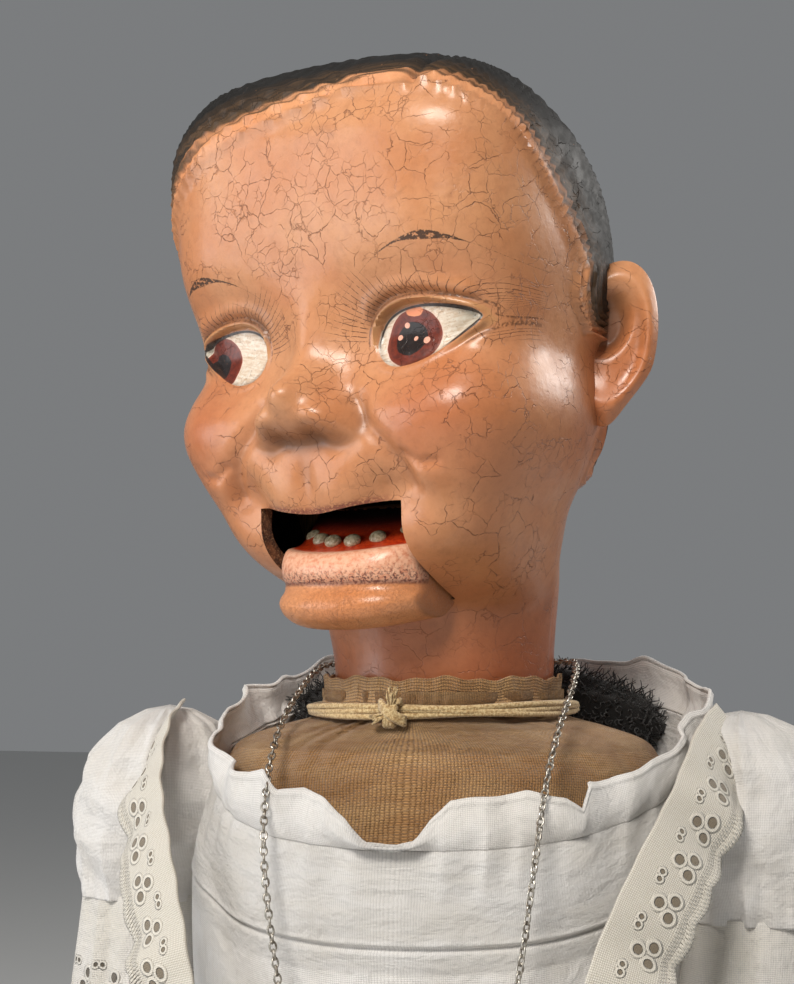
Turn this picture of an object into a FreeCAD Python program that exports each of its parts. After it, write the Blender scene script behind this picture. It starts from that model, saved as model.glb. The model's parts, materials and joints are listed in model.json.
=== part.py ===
import FreeCAD
import Part
import math
import os

# A seated ventriloquist dummy: composition head with a moving jaw, cloth body, composition
# hands and shoes, white cotton blouse and bloomers, neck twine and a chain necklace.
# Frame: +Z up, the dummy's body faces -Y, its left side is +X, the neck's axis is X = Y = 0
# and Z = 0 is the flat underside of the seat. Millimetres and degrees.

V = FreeCAD.Vector
X_AXIS, Y_AXIS, Z_AXIS = V(1, 0, 0), V(0, 1, 0), V(0, 0, 1)
SIDES = {"left": 1, "right": -1}

os.makedirs("parts", exist_ok=True)
doc = FreeCAD.newDocument("ventriloquist_dummy")

# ---------------------------------------------------------------- driving dimensions

DIMENSIONS = {
    # head
    "head_turn": -23.0, "crown_height": 470.0, "lace_across": 52.0, "head_wall": 5.0, "head_split": 14.0,
    "neck_radius": 31.5, "neck_bottom": 262.0, "neck_wall": 5.0,
    "flange_radius": 37.0, "flange_thick": 6.0, "neck_clearance": 0.5,
    "plug_thick": 4.0, "plug_hole": 5.0,
    "ear_forward": 3.0, "ear_height": 389.0, "ear_reach": 66.0,
    # mouth
    "slot_half_width": 23.9, "slot_top": 345.3, "jaw_gap": 0.6,
    "pivot_forward": 8.0, "pivot_height": 340.0, "axle_radius": 2.0, "axle_clearance": 0.05,
    "axle_half": 33.0, "axle_block_inner": 25.0, "axle_block_size": 13.0,
    "tooth_radius": 1.3, "tooth_pitch": 5.2,
    "lever_width": 7.0, "lever_thick": 3.0, "lever_length": 17.0, "screw_radius": 1.0,
    "eyelet_radius": 3.4, "eyelet_hole": 1.8, "eyelet_height": 308.0,
    # body
    "seat_clearance": 2.4, "bag_inset": 0.4, "shoulder_height": 286.5,
    "collar_top": 300.0, "collar_thick": 1.6, "twine_radius": 1.7, "twine_height": 291.2,
    "knot_radius": 2.8, "knot_forward": 2.0, "collar_ease": 0.2,
    "chain_radius": 1.25,
    "arm_split": 70.0, "split_clearance": 0.4,
    "bloomers_thick": 3.5, "bloomers_top": 96.0,
    "blouse_gap": 4.3, "blouse_out": 8.6, "blouse_hem": 76.0,
    "ruffle_deep": 13.0, "ruffle_level": 286.0, "ruffle_slope": 0.479,
    "lace_width": 20.0, "lace_thick": 1.2,
    "button_radius": 4.5, "button_thick": 2.0, "button_pitch": 24.0,
    # arms
    "arm_across": 86.0, "arm_back": 2.0, "arm_radius": 14.5, "arm_pivot": 262.0,
    "arm_top": 284.0, "elbow_height": 150.0, "wrist_height": 75.0, "forearm_radius": 12.5,
    "sleeve_thick": 8.0, "sleeve_bottom": 238.0, "flounce_bottom": 206.0, "flounce_radius": 27.0,
    "hand_bottom": 5.0, "finger_radius": 4.2,
    # legs
    "leg_across": 36.0, "hip_forward": 22.0, "hip_height": 30.2, "thigh_radius": 26.0,
    "leg_cover": 3.4, "crotch_half": 4.5, "knee_forward": 150.0, "shin_radius": 19.0,
    "ankle_forward": 252.0, "sole_forward": 300.0, "shoe_tall": 66.0,
    "hip_lift": 10.0,
}

sheet = doc.addObject("Spreadsheet::Sheet", "Dimensions")
for row, (alias, number) in enumerate(DIMENSIONS.items(), start=1):
    sheet.set("A%d" % row, alias)
    sheet.set("B%d" % row, str(number))
    sheet.setAlias("B%d" % row, alias)
doc.recompute()

subparts = {}


def dim(alias):
    """A driving dimension, read from the sheet."""
    return float(sheet.get(alias))


def bind(obj, sizes):
    """Tie an object's own sizes to cells of the sheet."""
    for prop, cells in sizes.items():
        obj.setExpression(prop, cells)
    return obj


def cell(text):
    """An expression whose words are the sheet's aliases."""
    words = sorted(DIMENSIONS, key=len, reverse=True)
    for word in words:
        text = text.replace(word, "<<%s>>" % word)
    return text.replace("<<", "Dimensions.").replace(">>", "")


def place(position, axis=Z_AXIS, angle=0.0):
    return FreeCAD.Placement(position, FreeCAD.Rotation(axis, angle))


def keep(obj, label):
    """Name a finished sub-part; its label is also its file's name."""
    obj.Label = label
    subparts[label] = obj
    return obj


def feature(label, shape, placement=None):
    """A sub-part whose form no primitive has."""
    obj = doc.addObject("Part::Feature", label)
    obj.Shape = shape
    if placement is not None:
        obj.Placement = placement
    return keep(obj, label)


def head_place():
    """The head is stored turned towards the dummy's right, as its neck joint holds it."""
    return place(V(0, 0, 0), Z_AXIS, dim("head_turn"))


# ---------------------------------------------------------------- shape helpers


def outline(height, half_width, front, back, middle=None, power=2.0, count=32):
    """A closed smooth outline at one height, widest on the line y = middle."""
    middle = (front + back) / 2 if middle is None else middle
    points = []
    for i in range(count):
        angle = 2 * math.pi * i / count
        across, along = math.cos(angle), math.sin(angle)
        depth = back - middle if along > 0 else middle - front
        points.append(V(
            half_width * math.copysign(abs(across) ** (2 / power), across),
            middle + depth * math.copysign(abs(along) ** (2 / power), along),
            height,
        ))
    curve = Part.BSplineCurve()
    curve.interpolate(Points=points, PeriodicFlag=True)
    return Part.Wire(curve.toShape())


def loft(wires):
    """A solid whose skin runs straight from each outline to the next."""
    return Part.makeLoft(wires, True, True)


def largest(shape):
    """The main solid of a cut, without loose slivers."""
    return max(shape.Solids, key=lambda solid: solid.Volume)


def box(low, high):
    size = high - low
    return Part.makeBox(size.x, size.y, size.z, low)


def prism_x(profile, low_x, high_x):
    """A flat (y, z) profile drawn out along X."""
    corners = [V(low_x, y, z) for y, z in profile]
    face = Part.Face(Part.makePolygon(corners + corners[:1]))
    return face.extrude(V(high_x - low_x, 0, 0))


def ellipsoid(centre, radii):
    ball = Part.makeSphere(1.0)
    shape = FreeCAD.Matrix()
    shape.scale(radii)
    ball = ball.transformGeometry(shape)
    ball.translate(centre)
    return ball


def rod(start, end, radius):
    return Part.makeCylinder(radius, (end - start).Length, start, end - start)


def capsule(start, end, radius):
    return rod(start, end, radius).fuse(
        [Part.makeSphere(radius, start), Part.makeSphere(radius, end)]
    )


def tube_along(points, radius, name):
    """A round tube on straight runs joined by tangent arcs, as large as the runs allow."""
    runs = [(b - a) for a, b in zip(points, points[1:])]
    edges, start, tightest = [], points[0], 1e9
    for corner, before, after in zip(points[1:], runs, runs[1:]):
        turn = before.getAngle(after)
        short = min(before.Length, after.Length)
        trim = 0.45 * short
        arc_radius = trim / math.tan(turn / 2)
        tightest = min(tightest, arc_radius)
        u = V(before).normalize()
        w = V(after).normalize()
        first, last = corner - u * trim, corner + w * trim
        middle = (w - u).normalize()
        reach = arc_radius / math.cos(turn / 2) - arc_radius
        edges.append(Part.LineSegment(start, first).toShape())
        edges.append(Part.Arc(first, corner + middle * reach, last).toShape())
        start = last
    edges.append(Part.LineSegment(start, points[-1]).toShape())
    path = Part.Wire(edges)
    section = Part.Wire(Part.Circle(points[0], runs[0], radius).toShape())
    tube = path.makePipeShell([section], True, True)
    wanted = math.pi * radius ** 2 * path.Length
    print("%s: length %.0f, tightest radius %.1f, volume ratio %.3f"
          % (name, path.Length, tightest, tube.Volume / wanted))
    return tube


# ---------------------------------------------------------------- head


def head_sections(inset=0.0, below=0.0):
    """Outlines of the head and neck from the neck's foot to the crown."""
    neck = dim("neck_radius")
    crown = dim("crown_height")
    foot = dim("neck_bottom") - below
    # height, half width, front, back, widest line, squareness
    stations = [
        (foot, neck, -neck, neck, 0, 2.0),
        (312, neck, -neck, neck + 0.5, 0, 2.0),
        (320, 33, -33.5, 33.5, -3, 2.1),
        (326, 36.5, -39, 33, -11, 2.7),
        (332.5, 40, -46.5, 31, -18, 3.2),
        (338, 43, -50.5, 29, -21, 3.6),
        (345, 46, -53.5, 28, -22, 3.9),
        (355, 51.5, -57, 30, -22, 3.9),
        (366, 55.3, -58.3, 35, -22, 3.8),
        (383, 54.5, -56.7, 41, -22, 3.4),
        (394, 55.8, -58.2, 41, -22, 3.4),
        (408, 57.3, -61.5, 40.5, -22, 3.5),
        (420, 57.8, -64, 37.5, -23, 3.6),
        (432, 57.6, -65, 28, -24, 3.7),
        (442, 56, -65, 15, -26, 3.7),
        (450, 52, -62.5, 4, -28, 3.4),
        (456, 47, -58, -3, -29, 3.1),
        (462, 38, -49, -9, -28.5, 2.8),
        (467, 24, -38, -15, -26.5, 2.4),
        (crown, 12, -31, -18.5, -25, 2.0),
    ]
    shrink = (crown - inset - foot) / (crown - foot)
    return [
        outline(foot + (height - foot) * shrink, half - inset, front + inset, back - inset,
                middle, power)
        for height, half, front, back, middle, power in stations
    ]


def mouth_slot():
    """The opening for the jaw: square top corners, a slanting lower edge under the chin."""
    half, top = dim("slot_half_width"), dim("slot_top")
    return prism_x(
        [(-90, top), (-18, top), (-18, 323), (-22, 322), (-44, 310), (-90, 310)], -half, half
    )


head_outer = loft(head_sections())
head_hollow = loft(head_sections(dim("head_wall"), 6.0))
flange = Part.makeCylinder(
    dim("flange_radius"), dim("flange_thick"), V(0, 0, dim("neck_bottom"))
)


def ear(side):
    """A cupped ear: a flat oval rim with a shallow bowl, standing out from the head's side."""
    centre = V(side * (dim("ear_reach") - 10), dim("ear_forward"), dim("ear_height"))
    rim = ellipsoid(centre, V(9.5, 12, 21))
    bowl = ellipsoid(centre + V(side * 8, -9, 2), V(5, 7, 12))
    return rim.cut(bowl)


def nose():
    return ellipsoid(V(0, -58, 371), V(11, 9, 12)).fuse(
        [ellipsoid(V(side * 9.5, -57, 366), V(6.5, 6.5, 6)) for side in SIDES.values()]
    )


def head_shells():
    """Front and back halves of the composition head, glued on a seam behind the ears."""
    shell = head_outer.cut(head_hollow).fuse(flange.cut(head_hollow)).cut(mouth_slot())
    split = dim("head_split")
    front = shell.common(box(V(-100, -100, 200), V(100, split, 520)))
    back = shell.common(box(V(-100, split, 200), V(100, 100, 520)))
    front_room = box(V(-100, -100, 200), V(100, split, 520))
    details = [ear(side).cut(head_hollow).common(front_room) for side in SIDES.values()]
    return front.fuse(details + [nose().cut(head_hollow)]), back


def string_hole():
    height = dim("eyelet_height")
    return rod(V(0, 20, height), V(0, 60, height), dim("eyelet_radius") - 1.0)


def axle_blocks():
    """Wooden blocks inside the cheeks that carry the jaw's axle."""
    blocks = {}
    size = dim("axle_block_size")
    pivot_y, pivot_z = -dim("pivot_forward"), dim("pivot_height")
    bore = rod(V(-60, pivot_y, pivot_z), V(60, pivot_y, pivot_z), dim("axle_radius"))
    for name, side in SIDES.items():
        near, far = side * dim("axle_block_inner"), side * 60
        block = box(
            V(min(near, far), pivot_y - size / 2, pivot_z - size / 2),
            V(max(near, far), pivot_y + size / 2, pivot_z + size / 2),
        )
        blocks[name] = block.common(head_hollow).cut(bore)
    return blocks


front_shell, rear_shell = head_shells()
feature("face_shell", front_shell, head_place())
feature("back_shell", rear_shell.cut(string_hole()), head_place())
for side_name, block_shape in axle_blocks().items():
    feature("axle_block_" + side_name, block_shape, head_place())

axle = doc.addObject("Part::Cylinder", "JawAxle")
bind(axle, {"Radius": cell("axle_radius"), "Height": cell("axle_half*2")})
turn = FreeCAD.Rotation(Z_AXIS, dim("head_turn"))
axle.Placement = FreeCAD.Placement(
    turn.multVec(V(-dim("axle_half"), -dim("pivot_forward"), dim("pivot_height"))),
    turn.multiply(FreeCAD.Rotation(Y_AXIS, 90)),
)
keep(axle, "jaw_axle")

plug_disc = doc.addObject("Part::Cylinder", "NeckPlugDisc")
bind(plug_disc, {"Radius": cell("neck_radius - neck_wall"), "Height": cell("plug_thick")})
plug_hole = doc.addObject("Part::Cylinder", "NeckPlugHole")
bind(plug_hole, {"Radius": cell("plug_hole"), "Height": cell("plug_thick*3")})
plug_hole.Placement = place(V(0, 0, -dim("plug_thick")))
neck_plug = doc.addObject("Part::Cut", "NeckPlug")
neck_plug.Base, neck_plug.Tool = plug_disc, plug_hole
neck_plug.Placement = place(V(0, 0, dim("neck_bottom")))
keep(neck_plug, "neck_plug")


def string_eyelet():
    """A brass eyelet pressed into the hole at the back of the neck."""
    height, neck = dim("eyelet_height"), dim("neck_radius")
    barrel = rod(V(0, neck - 6, height), V(0, neck + 1.6, height), dim("eyelet_radius") - 1.0)
    lip = rod(V(0, neck + 1.4, height), V(0, neck + 2.4, height), dim("eyelet_radius"))
    hole = rod(V(0, neck - 10, height), V(0, neck + 10, height), dim("eyelet_hole"))
    return barrel.fuse(lip).cut(hole).cut(head_outer.cut(string_hole()))


feature("string_eyelet", string_eyelet(), head_place())

# ---------------------------------------------------------------- jaw


def jaw_shell():
    """Lower lip and chin in one block, with a hub round the axle, as it hangs open."""
    half = dim("slot_half_width") - dim("jaw_gap")
    pivot_y, pivot_z = -dim("pivot_forward"), dim("pivot_height")
    profile = [
        (-48.0, 333.4), (-51.2, 331.4), (-52.6, 328.4), (-51.4, 325.6), (-53.2, 322.6),
        (-53.6, 319.2), (-51.6, 315.6), (-48.0, 313.4), (-43.0, 312.8), (-25.0, 322.4),
        (pivot_y, pivot_z - 6), (pivot_y + 6, pivot_z), (pivot_y, pivot_z + 4.6),
        (-20.0, 340.0),
    ]
    block = prism_x(profile, -half, half)
    round_chin = loft([
        outline(height, 30, -54.2, 14, -20, 2.2) for height in (300, 360)
    ])
    arm_gap = box(V(-half + 8, -20, 320), V(half - 8, 10, 350))
    bore = rod(V(-40, pivot_y, pivot_z), V(40, pivot_y, pivot_z),
               dim("axle_radius") + dim("axle_clearance"))
    return block.common(round_chin).cut(arm_gap).cut(bore)


def lower_teeth():
    """A short row of small raised teeth on the mouth's floor behind the lip."""
    teeth = []
    for i in range(-2, 3):
        across = i * dim("tooth_pitch")
        teeth.append(Part.makeSphere(
            dim("tooth_radius"), V(across, -43.6 + 0.16 * i * i, 334.9), Z_AXIS, 0, 90, 360
        ))
    return Part.makeCompound(teeth)


def lever_shape():
    """The wooden tail behind the jaw that the string pulls down to close the mouth."""
    half, thick = dim("lever_width") / 2, dim("lever_thick")
    start = -20.0
    low = 326.5
    tail = box(V(-half, start, low), V(half, start + dim("lever_length") + 22, low + thick))
    hole = rod(V(0, start + dim("lever_length") + 18, low - 5),
               V(0, start + dim("lever_length") + 18, low + 10), 1.5)
    return tail.cut(hole)


jaw_body = jaw_shell()
jaw_lever = lever_shape()
tooth_bed = jaw_body
feature("jaw_shell", jaw_body.cut(jaw_lever), head_place())
feature("lower_teeth", Part.makeCompound(
    [tooth.cut(tooth_bed) for tooth in lower_teeth().Solids]
), head_place())
feature("jaw_lever", jaw_lever, head_place())

# ---------------------------------------------------------------- cloth body


def body_sections(grow=0.0, bottom=None):
    """Outlines of the stuffed muslin body from the seat to the shoulders."""
    # height, half width, front, back, squareness
    stations = [
        (bottom if bottom is not None else dim("seat_clearance"), 61, -50, 52, 2.8),
        (40, 62, -50, 54, 2.8),
        (90, 59, -47, 50, 2.6),
        (140, 56, -46, 46, 2.5),
        (190, 58, -48, 43, 2.5),
        (240, 61, -50, 40, 2.5),
        (268, 61, -45, 38, 2.5),
    ]
    return [
        outline(height, half + grow, front - grow, back + grow, 0, power)
        for height, half, front, back, power in stations
    ]


def shoulder_sections(grow=0.0):
    """The shoulders, closing in on the tied neck."""
    stations = [
        (278, 60, -42, 37, 2.5), (283.5, 54, -39, 36, 2.4), (286.5, 44, -36.5, 35.5, 2.2),
        (288.6, 36, -35.5, 35.5, 2.0), (295, 34, -34, 34, 2.0),
    ]
    return [
        outline(height + grow * 0.6, half + grow, front - grow, back + grow, 0, power)
        for height, half, front, back, power in stations
    ]


def body_form(grow=0.0, bottom=None):
    return loft(body_sections(grow, bottom) + shoulder_sections(grow))


def leg_room():
    """The space that both thighs sweep as the hips swing from raised to hanging down."""
    radius = dim("thigh_radius") + dim("leg_cover") + 1.0
    centre = V(0, -dim("hip_forward"), dim("hip_height"))
    rooms = []
    for side in SIDES.values():
        near, far = side * (dim("crotch_half") + 0.6), side * 100
        low, high = min(near, far), max(near, far)
        rooms.append(rod(V(low, centre.y, centre.z), V(high, centre.y, centre.z), radius))
        for angle in (-dim("hip_lift"), 0.0, 22.5, 45.0, 67.5, 90.0):
            swept = box(V(low, -250, -radius), V(high, 0, radius))
            swept.Placement = place(centre, X_AXIS, angle)
            rooms.append(swept)
    return rooms[0].fuse(rooms[1:])


thigh_room = leg_room()
clearance = dim("neck_clearance")
neck_room = Part.makeCylinder(dim("neck_radius") + clearance, 100, V(0, 0, 255)).fuse(
    Part.makeCylinder(
        dim("flange_radius") + clearance,
        dim("flange_thick") + 2 * clearance,
        V(0, 0, dim("neck_bottom") - clearance),
    )
)
body_bag = body_form()
feature("torso_bag", body_bag.cut(neck_room).cut(thigh_room))


def neck_collar():
    """The turned-up edge of the muslin above the tie."""
    inner = dim("neck_radius") + clearance + dim("collar_ease")
    outer = inner + dim("collar_thick")
    low = 295.0
    ring = Part.makeCylinder(outer, dim("collar_top") - low, V(0, 0, low))
    return ring.cut(Part.makeCylinder(inner, 50, V(0, 0, low - 10)))


feature("neck_collar", neck_collar())


def neck_twine():
    """Cord tied round the gathered muslin, with its knot and two short ends."""
    radius, height = dim("twine_radius"), dim("twine_height")
    ring_radius = dim("neck_radius") + clearance + 5.4
    ring = Part.makeTorus(ring_radius, radius, V(0, 0, height))
    front = V(-4, -ring_radius - dim("knot_forward"), height)
    knot = Part.makeSphere(dim("knot_radius"), front)
    ends = [
        rod(front + V(1, -1.5, 0), front + V(7, -2.5, 5), radius * 0.8),
        rod(front + V(0, -1.5, -1), front + V(-4, -3.0, -6), radius * 0.8),
    ]
    return ring.fuse(knot.fuse(ends))


feature("neck_twine", neck_twine())


def wool_pad(grow=0.0):
    """A crescent of black wool cloth lying on the shoulders behind the neck."""
    pad = ellipsoid(V(0, 38, 284), V(62 + grow, 17 + grow, 20 + grow))
    around = Part.makeCylinder(41 - grow, 100, V(0, 0, 240))
    return pad.cut(around)


feature("wool_back_pad", wool_pad().cut(body_form(0.4)))

# ---------------------------------------------------------------- blouse and bloomers


def neckline_cutter(offset):
    """Everything above the slanting plane of the neckline."""
    slope, level = dim("ruffle_slope"), dim("ruffle_level") + offset
    return prism_x(
        [(-120, level - 120 * slope), (120, level + 120 * slope), (120, 500), (-120, 500)],
        -160, 160,
    )


def blouse_body():
    """The blouse's front and back, from the hem to just under the neckline ruffle."""
    outer = body_form(dim("blouse_out"), 60)
    shell = outer.cut(body_form(dim("blouse_gap"), 50))
    below_hem = box(V(-200, -200, 0), V(200, 200, dim("blouse_hem")))
    return shell.cut(below_hem).cut(neckline_cutter(-dim("ruffle_deep"))).cut(wool_pad(0.5))


def neckline_ruffle():
    """The gathered band round the scooped neckline."""
    outer = body_form(dim("blouse_out") + 1.0, 60)
    shell = outer.cut(body_form(dim("blouse_gap") - 1.0, 50))
    collar_room = Part.makeCylinder(46, 100, V(0, 0, 262))
    band = shell.cut(neckline_cutter(0.0)).common(neckline_cutter(-dim("ruffle_deep") + 0.3))
    return band.cut(wool_pad(0.5)).cut(collar_room)


def bloomers_seat():
    """The bloomers over the hips, with the flat seat the dummy rests on."""
    outer = body_form(dim("bloomers_thick"), 0.0)
    shell = outer.cut(body_form(dim("bag_inset")))
    above = box(V(-200, -200, dim("bloomers_top")), V(200, 200, 500))
    return shell.cut(above).cut(thigh_room)


def lace_band(side):
    """Lace set over the shoulder seam, slanting inwards down the front."""
    outer = body_form(dim("blouse_out") + 0.2 + dim("lace_thick"), 60)
    shell = outer.cut(body_form(dim("blouse_out") + 0.2, 50))
    half = dim("lace_width") / 2
    across = side * dim("lace_across")
    slab = box(V(across - half, -90, 200), V(across + half, -6, 262))
    return shell.common(slab).cut(neckline_cutter(-dim("ruffle_deep") - 0.6))


def back_buttons():
    """Small buttons down the blouse's back opening."""
    surface = 40 + dim("blouse_out")
    buttons = []
    for i in range(5):
        height = 252 - i * dim("button_pitch")
        depth = surface + 1.0 + 0.06 * max(0, 240 - height)
        buttons.append(rod(V(0, depth, height), V(0, depth + dim("button_thick"), height),
                           dim("button_radius")))
    return Part.makeCompound(buttons)


feature("blouse_body", largest(blouse_body()))
feature("neckline_ruffle", neckline_ruffle())
feature("bloomers_seat", bloomers_seat())
for side_name, side_sign in SIDES.items():
    feature("lace_band_" + side_name, lace_band(side_sign))
feature("back_buttons", back_buttons())

# ---------------------------------------------------------------- necklace

CHAIN_ROUTE = [
    (3.6, 38.6, 303.0), (20, 34, 303.4), (33, 20, 304.0), (38, 3, 303.6), (39.6, -20, 296),
    (39.4, -38, 288), (38.6, -52, 276), (37.6, -63.5, 256), (34, -65, 229), (27.5, -64, 203),
    (18, -62.5, 181), (6.5, -61.8, 169), (-5.5, -61.8, 168.6), (-15.5, -62.6, 179),
    (-22, -64, 203), (-26.5, -65, 228), (-31, -63, 254), (-34, -53, 273),
    (-35.5, -38, 287.5), (-36, -20, 296), (-37, 2, 303), (-32, 20, 303.8),
    (-20, 34, 303.2), (-3.6, 38.6, 303.0),
]


def chain_clasp():
    """The barrel that joins the ends of the chain behind the neck."""
    return rod(V(-3.2, 38.6, 303), V(3.2, 38.6, 303), 1.9)


feature("necklace_chain", tube_along(
    [V(*point) for point in CHAIN_ROUTE], dim("chain_radius"), "necklace chain"
))
feature("chain_clasp", chain_clasp())

# ---------------------------------------------------------------- arms


def arm_side(side):
    """Keeps an arm's cloth on its own side of the shoulder seam."""
    near = side * (dim("arm_split") + dim("split_clearance"))
    far = side * 200
    return box(V(min(near, far), -200, 0), V(max(near, far), 200, 400))


def elbow_room(side):
    """The space the forearm sweeps as it bends forward."""
    radius = dim("forearm_radius") + 0.6
    centre = V(side * dim("arm_across"), dim("arm_back"), dim("elbow_height"))
    low, high = centre.x - 40, centre.x + 40
    turning = rod(V(low, centre.y, centre.z), V(high, centre.y, centre.z), radius)
    ahead = box(V(low, -120, centre.z - 40), V(high, centre.y, centre.z + radius))
    below = box(V(low, centre.y - radius, 0), V(high, centre.y + radius, centre.z))
    return turning.fuse([ahead, below])


def upper_arm(side):
    x, y = side * dim("arm_across"), dim("arm_back")
    top = dim("arm_top") - dim("arm_radius")
    arm = Part.makeCylinder(dim("arm_radius"), top - dim("elbow_height") + 10,
                            V(x, y, dim("elbow_height") - 10))
    arm = arm.fuse(Part.makeSphere(dim("arm_radius"), V(x, y, top)))
    return arm.cut(elbow_room(side)).common(arm_side(side))


def forearm(side):
    """A stuffed tube ended by a half round that turns in the upper arm's fold."""
    x, y = side * dim("arm_across"), dim("arm_back")
    radius, elbow = dim("forearm_radius"), dim("elbow_height")
    low = dim("wrist_height")
    tube = Part.makeCylinder(radius, elbow - low, V(x, y, low))
    knuckle = rod(V(x - radius, y, elbow), V(x + radius, y, elbow), radius).common(
        Part.makeCylinder(radius, 60, V(x, y, elbow - 30))
    )
    return tube.fuse(knuckle)


def hand(side):
    """A composition hand: rounded palm, four fingers and a thumb."""
    x, y = side * dim("arm_across"), dim("arm_back")
    low, wrist = dim("hand_bottom"), dim("wrist_height")
    finger = dim("finger_radius")
    stem = Part.makeCylinder(8.5, 18, V(x, y, wrist - 18))
    palm = box(V(x - 7.5, y - 16.5, wrist - 42), V(x + 7.5, y + 16.5, wrist - 9))
    palm = palm.makeFillet(5.5, palm.Edges)
    shapes = [palm]
    for i, shorter in enumerate((3, 0, 1.5, 6)):
        across = y - 12.4 + i * 8.3
        shapes.append(capsule(V(x + 0.1 * i, across, wrist - 37),
                              V(x, across, low + finger + shorter), finger))
    shapes.append(capsule(V(x, y - 14, wrist - 24), V(x - side * 3, y - 25, wrist - 46), 4.6))
    return stem.fuse(shapes)


def wrist_tie(side):
    x, y = side * dim("arm_across"), dim("arm_back")
    return Part.makeTorus(dim("forearm_radius") + 1.2, 1.0, V(x, y, dim("wrist_height") + 6))


def turned(side, profile):
    """A (radius, height) profile turned round the arm's own upright axis."""
    x, y = side * dim("arm_across"), dim("arm_back")
    corners = [V(x + radius, y, height) for radius, height in profile]
    face = Part.Face(Part.makePolygon(corners + corners[:1]))
    return face.revolve(V(x, y, 0), Z_AXIS, 360)


def domed(radius, top, bottom, steps=8):
    """Profile of a round-topped tube."""
    profile = [(0, bottom)]
    for i in range(steps):
        angle = math.radians(90 * i / steps)
        profile.append((radius * math.cos(angle), top - radius * (1 - math.sin(angle))))
    return [profile[0], (radius, bottom)] + profile[1:] + [(0, top)]


def sleeve(side):
    """The short puffed sleeve over the top of the arm."""
    thick, bottom = dim("sleeve_thick"), dim("sleeve_bottom")
    outer = turned(side, domed(dim("arm_radius") + thick, dim("arm_top") + thick, bottom))
    inner = turned(side, domed(dim("arm_radius") + 0.4, dim("arm_top") + 0.4, bottom - 5))
    return outer.cut(inner).common(arm_side(side))


def sleeve_flounce(side):
    """The eyelet frill gathered on to the sleeve's lower edge."""
    x, y = side * dim("arm_across"), dim("arm_back")
    top, low = dim("sleeve_bottom") - 0.3, dim("flounce_bottom")
    reach = dim("flounce_radius")
    narrow = dim("arm_radius") + dim("sleeve_thick")
    outer = Part.makeCone(reach, narrow, top - low, V(x, y, low))
    inner = Part.makeCone(reach - 3.5, dim("arm_radius") + 0.6, top - low, V(x, y, low))
    return outer.cut(inner).common(arm_side(side))


for side_name, side_sign in SIDES.items():
    feature("upper_arm_" + side_name, upper_arm(side_sign))
    feature("sleeve_" + side_name, sleeve(side_sign))
    feature("sleeve_flounce_" + side_name, sleeve_flounce(side_sign))
    feature("forearm_" + side_name, forearm(side_sign).cut(hand(side_sign)))
    feature("wrist_tie_" + side_name, wrist_tie(side_sign))
    feature("hand_" + side_name, hand(side_sign))

# ---------------------------------------------------------------- legs


def knee_room(side):
    """The space the shin sweeps as the knee bends down."""
    radius = dim("shin_radius") + 0.6
    centre = V(side * dim("leg_across"), -dim("knee_forward"), dim("hip_height"))
    low, high = centre.x - 60, centre.x + 60
    turning = rod(V(low, centre.y, centre.z), V(high, centre.y, centre.z), radius)
    ahead = box(V(low, -400, centre.z - radius), V(high, centre.y, centre.z + radius))
    under = box(V(low, centre.y - radius, -100), V(high, centre.y + radius, centre.z))
    return turning.fuse([ahead, under])


def leg_tube(side, radius, front):
    """A round tube from the hip's half-round end forward to y = front."""
    x, hip_y, z = side * dim("leg_across"), -dim("hip_forward"), dim("hip_height")
    tube = rod(V(x, hip_y, z), V(x, front, z), radius)
    end = rod(V(x - radius, hip_y, z), V(x + radius, hip_y, z), radius).common(
        rod(V(x, hip_y + 60, z), V(x, hip_y - 60, z), radius)
    )
    return tube.fuse(end)


def thigh(side):
    front = -dim("knee_forward") - 6
    return leg_tube(side, dim("thigh_radius"), front).cut(knee_room(side))


def bloomers_leg(side):
    """The loose cotton leg of the bloomers, ending above the knee."""
    front = -dim("knee_forward") + 42
    outer = leg_tube(side, dim("thigh_radius") + dim("leg_cover"), front)
    return outer.cut(leg_tube(side, dim("thigh_radius") + 0.3, front - 10))


def bloomers_lace(side):
    """Eyelet edging gathered on the end of the bloomers' leg."""
    x, z = side * dim("leg_across"), dim("hip_height")
    back, front = -dim("knee_forward") + 41.7, -dim("knee_forward") + 22
    radius = dim("thigh_radius") + 0.4
    wide = dim("thigh_radius") + dim("leg_cover")
    return rod(V(x, back, z), V(x, front, z), wide).cut(
        rod(V(x, back + 5, z), V(x, front - 5, z), radius)
    )


def shin(side):
    x, z = side * dim("leg_across"), dim("hip_height")
    knee_y, ankle_y = -dim("knee_forward"), -dim("ankle_forward")
    radius = dim("shin_radius")
    calf = Part.makeCone(radius, 14.5, knee_y - ankle_y, V(x, knee_y, z), V(0, -1, 0))
    knuckle = rod(V(x - radius, knee_y, z), V(x + radius, knee_y, z), radius).common(
        rod(V(x, knee_y + 40, z), V(x, knee_y - 40, z), radius)
    )
    return calf.fuse(knuckle)


def ankle_tie(side):
    ring = Part.makeTorus(16.6, 1.0, V(side * dim("leg_across"), 8 - dim("ankle_forward"),
                                       dim("hip_height")), V(0, 1, 0))
    return ring


def shoe(side):
    """A composition shoe on its heel, the toe pointing up and a little outwards."""
    x, z = side * dim("leg_across"), dim("hip_height")
    ankle_y, sole_y = -dim("ankle_forward"), -dim("sole_forward")
    stem = rod(V(x, ankle_y + 10, z), V(x, ankle_y - 14, z), 11.5)
    foot = []
    stations = [(0.0, 10), (4, 13), (20, 15), (42, 16.5), (58, 14), (64, 9), (66, 4)]
    for height, half in stations:
        deep = 33 - 0.26 * height
        foot.append(outline(height + 3.0, half, sole_y, sole_y + deep))
    solid = loft(foot)
    solid.translate(V(x, 0, 0))
    bridge = Part.makeCone(14, 13, 16, V(x, ankle_y - 8, z), V(0, -1, 0))
    return stem.fuse([bridge, solid])


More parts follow.
